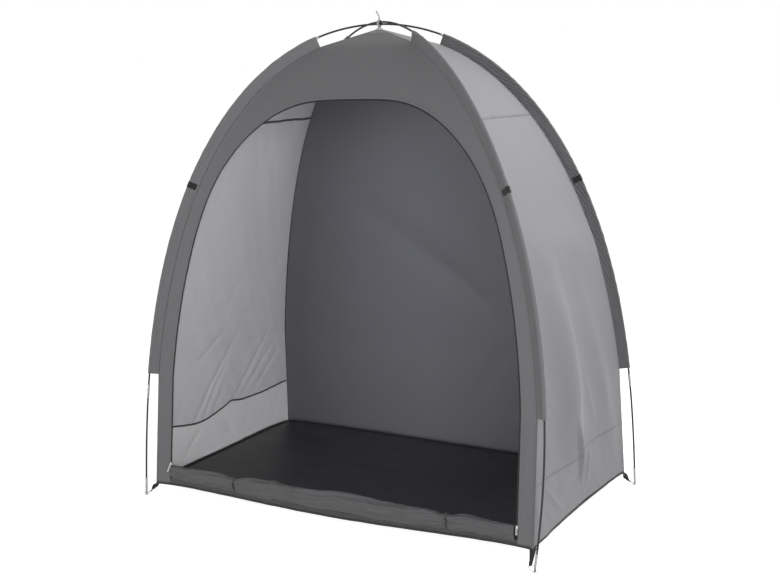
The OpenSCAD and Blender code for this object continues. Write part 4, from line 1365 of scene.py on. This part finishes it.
# The line beside the doorway, this far inside its edge, with the cloth's outward directions
def besideDoor(by):
    jamb = np.linspace(door["zipLow"], door["spring"], zipSizes["jambCells"])[:-1]
    edge = by / pitch["length"]
    q = roundDoor(doorFrom + edge, doorEdge(archTurns, by), doorTo - edge, jamb)
    return clothPoint(0, q[:, 0], q[:, 1])


# A strip beside the doorway, from how far in each row is and how far it stands out of the cloth
def doorStrip(rows):
    lines = [besideDoor(by) for by, _ in rows]
    return np.stack([p + normal * proud for (p, normal), (_, proud) in zip(lines, rows)])


points = doorStrip(
    [(zipSizes["tape"], -0.0008), (0.0036, -0.0008), (0.0008, -0.0008), (-0.0022, -0.0018)])
run = runOf(points[0])
weave = paired(np.linspace(0, zipSizes["wide"], 4)[:, None], run[None])
zipTape = addGrid("zipTape", points, weave, ["zipTape"])
thicken(zipTape, zipSizes["thick"])
place(zipTape, "zip", "door_zip")
clothSheet(zipTape, zipSizes["flat"], run[-1], zipSizes["wide"] * run[-1])
p, normal = besideDoor(zipSizes["tape"] + 0.0010)
zipTeeth = addRow("zipTeeth", [(p - normal * 0.0008, normal)], zipSizes["teethGap"], zipSizes["tooth"],
                  zipSizes["toothThick"], "zipTeeth", 1.0, 6, 0.02, True)
place(zipTeeth, "zip")
edgeLines = []
for by in (-0.0024, -0.0085):
    p, normal = besideDoor(by)
    edgeLines.append((p + normal * stitch["off"], normal))
place(addRow("doorStitches", edgeLines, 0.0044, 0.0034, stitch["thick"], "paleThread"), "front_cloth")
# A turned hem beside the zip, a thickness proud of the wall
edgeHem = {
    "wide": 0.0112,
    "rows": [
        (0.0006, 0.0002), (-0.0004, 0.0010), (-0.0052, 0.0011), (-0.0098, 0.0010), (-0.0106, 0.0003),
    ],
}
points = doorStrip(edgeHem["rows"])
run = runOf(points[0])
weave = paired(run[None], np.linspace(0, edgeHem["wide"], 5)[:, None])
doorHem = addGrid("doorHem", points, weave, ["frontOut"])
place(doorHem, "front_cloth")
clothSheet(doorHem, edgeHem["wide"], run[-1], None)


def roundedBox(centre, size, axes, bevel):
    bm = bmesh.new()
    bmesh.ops.create_cube(bm, size=1)
    for v in bm.verts:
        v.co = Vector([v.co[k] * size[k] for k in range(3)])
    bmesh.ops.bevel(bm, geom=bm.edges[:], offset=bevel, segments=2, affect="EDGES", profile=0.5)
    turn = Matrix([list(a) for a in axes]).transposed().to_4x4()
    bmesh.ops.transform(bm, matrix=Matrix.Translation(Vector(centre)) @ turn, verts=bm.verts)
    return bm


def fromParts(name, parts, material):
    mesh = bpy.data.meshes.new(name)
    whole = bmesh.new()
    for bm in parts:
        part = bpy.data.meshes.new("part")
        bm.to_mesh(part)
        bm.free()
        whole.from_mesh(part)
        bpy.data.meshes.remove(part)
    whole.to_mesh(mesh)
    whole.free()
    mesh.shade_smooth()
    mesh.materials.append(finishes[material])
    return linked(name, mesh)


def tubePart(path, radius, first, ring=False):
    obj = addTube("part", path, radius, "zipPull", 8, first, ring)
    bm = bmesh.new()
    bm.from_mesh(obj.data)
    mesh = obj.data
    bpy.data.objects.remove(obj)
    bpy.data.meshes.remove(mesh)
    return bm


pull = {"loopLong": 0.030, "loopHalf": 0.0021, "loopWire": 0.0011, "bailWire": 0.0008}
pulls = []
# the left one sits higher and hangs over the end of the roll
for sign, higher, lean in ((-1, 0.018, 0.6), (1, 0, 0)):
    across = doorMiddle + sign * (doorHalf - 0.0035 / pitch["length"])
    level = door["zipLow"] + higher
    at, normal = clothPoint(0, np.array([across]), np.array([level]))
    at, normal = at[0], normal[0]
    above = clothPoint(0, np.array([across]), np.array([level + 0.02]))[0][0]
    upward = unit(above - at)
    sideways = np.cross(upward, -normal)
    axes = [-sideways, -normal, upward]
    front = at + normal * 0.0022
    pulls.append(roundedBox(front, (0.0082, 0.0022, 0.011), axes, 0.0008))
    pulls.append(roundedBox(at - normal * 0.0032, (0.0082, 0.0018, 0.011), axes, 0.0007))
    pulls.append(roundedBox(at + upward * 0.0035, (0.0026, 0.0052, 0.0036), axes, 0.0006))
    bail = np.array([front + normal * (0.0008 + 0.0028 * math.sin(a)) - upward * 0.0042 * math.cos(a)
                     for a in np.linspace(0, math.pi, 11)])
    pulls.append(tubePart(bail, pull["bailWire"], sideways))
    long, half = pull["loopLong"] / 2, pull["loopHalf"]
    oval = []
    for a in np.linspace(0, 2 * math.pi, 33)[:-1]:
        down = 0.0012 + long - (long - half) * math.copysign(1, math.sin(a)) - half * math.sin(a)
        spot = front + normal * (0.0030 + lean * down) - upward * down
        oval.append(spot + sideways * half * math.cos(a))
    pulls.append(tubePart(np.array(oval), pull["loopWire"], normal, ring=True))
zipPulls = fromParts("zipPulls", pulls, "zipPull")
place(zipPulls, "zip_pull", "zip_pulls")
print("zip made")


# The rolled down door

roll = {
    "tall": 0.094,
    "thick": 0.046,
    "pinch": 0.28,
    "reach": 0.037,
    "foldReach": 0.075,
    "ties": [0.24, 0.8],
    "turns": 6.6,
    "core": 0.42,              # radius of the innermost turn, as a share of the outer one
    "shown": 1.4,              # turns that show, with finer cells
    "shownCells": 84,
    "perTurn": 18,
    "cols": 230,
    "doorTall": 1.70,
    "doorWide": 1.69,
    "soft": 0.17,              # creases as shares of the radius: broad, sharp and beside a tie
    "ridge": 0.24,
    "gathered": 0.13,
    "tight": 0.97,             # and how full the roll stays under a tie
}
rollFrom = doorFrom + 0.005 / pitch["length"]
rollTo = doorTo - 0.005 / pitch["length"]


# 1 at a tie, falling to 0 away from it
def besideTie(across, reach):
    return np.max([np.exp(-((across - t) * pitch["length"] / reach) ** 2) for t in roll["ties"]], 0)


def rollSize(across):
    share = np.clip((across - rollFrom) / (rollTo - rollFrom), 0.04, 0.96)
    return (1 - roll["pinch"] * besideTie(across, roll["reach"])) * np.sin(math.pi * share) ** 0.14


# Creases that all turns of the roll share, as a share of its radius
def rollShape(turned, along, tied):
    c, s = np.cos(turned), np.sin(turned)
    soft = roll["soft"] * layered(1.5 * c + 3 * along, 1.5 * s - 2.4 * along, 161, 3)
    ridge = roll["ridge"] * (creased(1.9 * c + 2.6 * along, 1.9 * s + 2.0 * along + 11, 165, 5) - 0.3)
    gathered = roll["gathered"] * tied * noise(4.4 * c + 2 * along, 4.4 * s + 5, 171)
    shape = np.clip(0.86 + soft + ridge + gathered, 0.55, 1)
    return shape + (roll["tight"] - shape) * tied ** 12


# 0 at the sill, 1 at the top of the arch, at the core
spiral = np.concatenate([
    np.linspace(0, roll["shown"], roll["shownCells"] + 1)[:-1],
    np.linspace(roll["shown"], roll["turns"], int((roll["turns"] - roll["shown"]) * roll["perTurn"])),
]) / roll["turns"]
share = np.linspace(0, 1, roll["cols"])
share = share - 0.02 * np.sin(2 * math.pi * share)
# the door narrows over its arch, so the inner turns are shorter
narrow = np.clip((spiral - 0.62) / 0.38, 0, 1)
halfShare = 0.5 * (1 - 0.62 * narrow ** 2.2)
halfShare = halfShare - 0.004 * noise(spiral * 14, 0.3, 151)
across = 0.5 + (share[None] - 0.5) * 2 * halfShare[:, None]
across = rollFrom + (rollTo - rollFrom) * np.clip(across, 0.004, 0.996)
size = rollSize(across)
turnAt = -math.pi / 2 - 0.5 + spiral[:, None] * roll["turns"] * 2 * math.pi
radius = 1 - (1 - roll["core"]) * spiral[:, None] ** 0.9
lengthAlong = across * pitch["length"]
nearTie = besideTie(across, roll["foldReach"])
shape = rollShape(turnAt, lengthAlong, nearTie) + 0.02 * noise(turnAt * 2.3, lengthAlong * 3, 175)
settle = 1 - rollShape(np.array(-math.pi / 2), lengthAlong, nearTie)
radius = radius * np.minimum(shape, 1)
base = wallPoint(0, across, pitch["hemZ"] + door["sill"])
offY = np.cos(turnAt) * radius * roll["thick"] / 2 * size
offZ = (np.sin(turnAt) * radius + 1 - settle) * roll["tall"] / 2 * size
points = base + np.stack([np.zeros_like(offY), -offY, offZ + 0.0006], -1)
weave = paired(lengthAlong, (spiral * roll["doorTall"])[:, None])
doorRoll = addGrid("doorRoll", points, weave, ["roll"])
place(doorRoll, "front_cloth", "door_roll")
print("roll area", gridArea(points), "m2")
clothSheet(doorRoll, roll["doorWide"], roll["doorTall"], gridArea(points))

ties = {"wide": 0.010, "clear": 0.0006, "thick": 0.0012, "toggleLong": 0.024, "toggleHalf": 0.0042}
for k, across in enumerate(roll["ties"]):
    baseAt = wallPoint(0, np.array([across]), np.array([pitch["hemZ"] + door["sill"]]))[0]
    s = rollSize(np.array([across]))[0]
    halfThick, halfTall = roll["thick"] * s / 2, roll["tall"] * s / 2
    a = np.linspace(math.radians(-62), math.radians(242), 40)
    wrapPath = np.stack([
        np.zeros_like(a),
        -np.cos(a) * (halfThick + ties["clear"]),
        np.sin(a) * (halfTall + ties["clear"]) + halfTall,
    ], -1) + baseAt
    side = np.broadcast_to(np.array([1.0, 0, 0]), wrapPath.shape)
    wides = ties["wide"] * (1 + 0.08 * noise(np.arange(40) * 0.3, 0.0, 181 + k))
    points, weave = stripPoints(wrapPath, side, wides, 4)
    obj = addGrid(f"doorTie.{k + 1}", points[::-1], weave[::-1], ["tieTape"])
    thicken(obj, ties["thick"], offset=0)
    place(obj, "webbing")
    clothSheet(obj, ties["wide"], runOf(wrapPath)[-1], None)
    middle = baseAt + np.array([0.001, -halfThick - ties["toggleHalf"] - 0.0012, halfTall])
    half, r = ties["toggleLong"] / 2, ties["toggleHalf"]
    lower = np.array([[0.0004, -half], [r * 0.62, -half], [r * 0.95, -half * 0.88], [r, -half * 0.6],
                      [r * 0.78, -half * 0.2]])
    profile = np.concatenate([lower, (lower * [1, -1])[::-1]])
    lean = unit(np.array([0.16 if k else -0.12, -0.05, 1.0]))
    p, quads = spunPoints(middle, lean, profile, 20)
    toggle = addMesh(f"toggle.{k + 1}", p, quads, ["toggle"])
    place(toggle, "webbing")
    if k == 0:
        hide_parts("door_ties")
print("door roll made")


# Floor

floorSizes = {
    "rim": 0.56,               # where the floor starts to climb to the hem
    "bend": 1.15,
    "start": 0.0038,           # tucked into the folded binding
    "hemHigh": 0.0045,
    "cornerUp": 0.014,         # it reaches higher into each corner
    "cornerReach": 0.012,
    "cols": (150, 84, 150, 84),
    "rimRows": 28,
    "flatRows": 18,
    "thick": 0.001,
    "clear": 0.0012,           # above the ground
    "round": 24,               # points over which the innermost ring's corners are rounded
}


def floorLoop(share):
    rings = []
    by = floorSizes["start"] + floorSizes["rim"] * share
    for wall in range(4):
        across = np.linspace(0, 1, floorSizes["cols"][wall] + 1)[:-1]
        p = wallPoint(wall, across, pitch["hemZ"], by)
        toCorner = np.minimum(across, 1 - across) * wallWide(wall, np.array(pitch["hemZ"]))
        nearCorner = np.exp(-(toCorner / floorSizes["cornerReach"]) ** 2)
        hemHigh = floorSizes["hemHigh"] - floorSizes["cornerUp"] * nearCorner
        z = (pitch["hemZ"] - hemHigh) * (1 - share) ** floorSizes["bend"]
        p[..., 2] = z * p[..., 2] / pitch["hemZ"] + floorSizes["clear"]
        rings.append(p)
    return np.concatenate(rings)


# Rounds the corners of a ring of the floor over this many of its points
def rounded(ring, reach):
    if reach < 1:
        return ring
    weights = np.hanning(2 * reach + 3)[1:-1]
    padded = np.concatenate([ring[-reach:], ring, ring[:reach]])
    return np.stack([np.convolve(padded[:, k], weights / weights.sum(), "valid") for k in range(3)], -1)


rings = [rounded(floorLoop(share), int(floorSizes["round"] * share ** 0.7))
         for share in np.linspace(0, 1, floorSizes["rimRows"])]
flat = rings[-1]
centre = np.array([flat[:, 0].mean(), flat[:, 1].mean(), floorSizes["clear"]])
for t in np.linspace(0, 0.999, floorSizes["flatRows"])[1:]:
    rings.append(flat + (centre - flat) * [t, t, 0])
points = np.stack(rings)[::-1]
x, y = points[..., 0], points[..., 1]
lift = 0.0016 * np.maximum(layered(x * 5, y * 6, 191, 3), -0.4)
lift = lift + 0.0007 * creased(x * 4 + y * 2, y * 7, 195, 5)
edgeFade = np.clip(np.linspace(1, 0, len(points)) / 0.1, 0, 1)[:, None]
points[..., 2] += (lift + 0.0006) * edgeFade
weave = points[..., :2]
weave = np.concatenate([weave, weave[:, :1]], 1)
groundsheet = addGrid("floorSheet", points, weave, ["floor"], closed=True)
thicken(groundsheet, floorSizes["thick"], offset=1)
place(groundsheet, "groundsheet", "groundsheet", "groundsheet_rim")
clothSheet(groundsheet, pitch["length"] + 0.02, pitch["depth"] + 0.03, gridArea(points))
print("floor made")


# Peak

peak = {
    "tapeWide": 0.010,
    "tail": 0.040,
    "patchCells": 15,
    "loopPoints": 46,
    "footAside": 0.0045,
}
patchZ = pitch["peakZ"] + 0.0006
u = np.linspace(-1, 1, peak["patchCells"])
gx, gy = np.meshgrid(u, u, indexing="xy")
half = pitch["peakR"] * np.array([math.cos(diagonalAngle), math.sin(diagonalAngle)]) + 0.002
points = np.stack([gx * half[0], gy * half[1], patchZ + 0.0012 - 0.0016 * (gx ** 2 + gy ** 2) / 2
                   + 0.0004 * noise(gx * 3, gy * 3, 201)], -1)
patch = addGrid("peakPatch", points, points[..., :2], ["frontOut"])
thicken(patch, 0.0012)
place(patch, "front_cloth")
clothSheet(patch, 2 * half[0], 2 * half[1], 4 * half[0] * half[1])
# the loop goes round both rods at the crossing and ends in a standing tail
crossZ = pitch["height"] + 0.0041
loopHalf = np.array([0.0106, 0.0128])
a = np.linspace(-math.pi / 2, math.pi * 1.5, peak["loopPoints"])
c, s = [np.sign(v) * np.abs(v) ** 0.8 for v in (np.cos(a), np.sin(a))]
sway = 0.0018 * np.sin(np.linspace(0, 2 * math.pi, peak["loopPoints"]))
oval = np.stack([sway, c * loopHalf[0], crossZ + s * loopHalf[1]], -1)
down = np.linspace(0, 1, 6)[:, None]
foot = np.array([0.0, peak["footAside"], patchZ + 0.0020])
foot1 = foot + (oval[0] - foot) * down
foot2 = oval[-1] + (foot * [1, -1, 1] - oval[-1]) * down
path = np.concatenate([foot1[:-1], oval, foot2[1:]])
side = np.broadcast_to(np.array([1.0, 0.0, 0.0]), path.shape)
wides = peak["tapeWide"] * (1 + 0.1 * np.sin(np.arange(len(path)) * 0.5))
points, weave = stripPoints(path, side, wides)
loop = addGrid("peakLoop", points, weave, ["loopTape"])
thicken(loop, 0.0010, offset=0)
place(loop, "loop_tape", "peak_loop")
clothSheet(loop, peak["tapeWide"], runOf(path)[-1], gridArea(points))
t = np.linspace(0, 1, 16)
tailBase = np.array([0.0, 0.0, crossZ + loopHalf[1] + 0.0006])
lean = peak["tail"] * np.stack([-0.30 * t ** 1.5, np.zeros_like(t), 0.93 * t], -1)
path = tailBase + lean
path[:, 1] += 0.003 * np.sin(t * 5)
twist = t * 1.3
side = np.stack([np.sin(twist) * 0.5, np.cos(twist), np.zeros_like(t)], -1)
points, weave = stripPoints(path, unit(side), peak["tapeWide"] * (1 - 0.45 * t))
tail = addGrid("peakTail", points, weave, ["loopTape"])
thicken(tail, 0.0012, offset=0)
place(tail, "loop_tape")
clothSheet(tail, peak["tapeWide"], runOf(path)[-1], gridArea(points))
print("peak made")


# Floor of the room, light and background

studio = {
    "world": 0.26,
    "groundHalf": 60,
    "groundTone": 0.70,
    "groundGlow": 0.84,
    # place, what it faces, size and power
    "keyLight": ((4.6, -4.4, 2.5), (0, 0, 1.1), (4.0, 2.8), 202),
    "fillLight": ((-2.6, -6.0, 1.6), (0, 0, 1.1), (4.0, 2.8), 170),
    "topLight": ((2.2, 0.9, 3.2), (0.6, 0, 1.35), (1.6, 1.6), 78),
}


# 1 where the camera sees a surface, directly or through a reflection
def seenBy(nodes):
    lightPath = nodes.node("ShaderNodeLightPath")
    camera, glossy, through = [
        nodes.wire(lightPath, f"Is {ray} Ray") for ray in ("Camera", "Glossy", "Transmission")
    ]
    return camera.most(glossy).most(through)


far = studio["groundHalf"]
ground = bpy.data.meshes.new("studioFloor")
ground.from_pydata([(-far, -far, 0), (far, -far, 0), (far, far, 0), (-far, far, 0)], [], [(0, 1, 2, 3)])
studioFloor = linked("studioFloor", ground)
f = Finish("studioFloor")
plain = f.node("ShaderNodeBsdfDiffuse", {"Color": (studio["groundTone"],) * 3 + (1,)})
glow = f.node("ShaderNodeEmission", {"Color": (1, 1, 1, 1), "Strength": studio["groundGlow"]})
both = f.node("ShaderNodeAddShader", {0: f.wire(plain), 1: f.wire(glow)})
mixer = f.node("ShaderNodeMixShader", {0: seenBy(f), 1: f.wire(plain), 2: f.wire(both)})
f.node("ShaderNodeOutputMaterial", {"Surface": f.wire(mixer)})
ground.materials.append(f.material)

world = bpy.data.worlds.new("studio")
scene.world = world
world.use_nodes = True
n = Nodes(world.node_tree)
soft, white = [
    n.wire(n.node("ShaderNodeBackground", {"Color": (1, 1, 1, 1), "Strength": strength}))
    for strength in (studio["world"], 1)
]
choose = n.node("ShaderNodeMixShader", {0: seenBy(n), 1: soft, 2: white})
n.node("ShaderNodeOutputWorld", {"Surface": n.wire(choose)})

for name in ("keyLight", "fillLight", "topLight"):
    at, target, size, power = studio[name]
    lamp = bpy.data.lights.new(name, "AREA")
    lamp.shape = "RECTANGLE"
    lamp.size, lamp.size_y = size
    lamp.energy = power
    obj = linked(name, lamp)
    obj.location = at
    obj.rotation_euler = (Vector(target) - Vector(at)).to_track_quat("-Z", "Y").to_euler()
scene.view_settings.view_transform = "Standard"
print("studio set")

for name, (flat, area) in flatSizes.items():
    print("flat", name, flat, area)
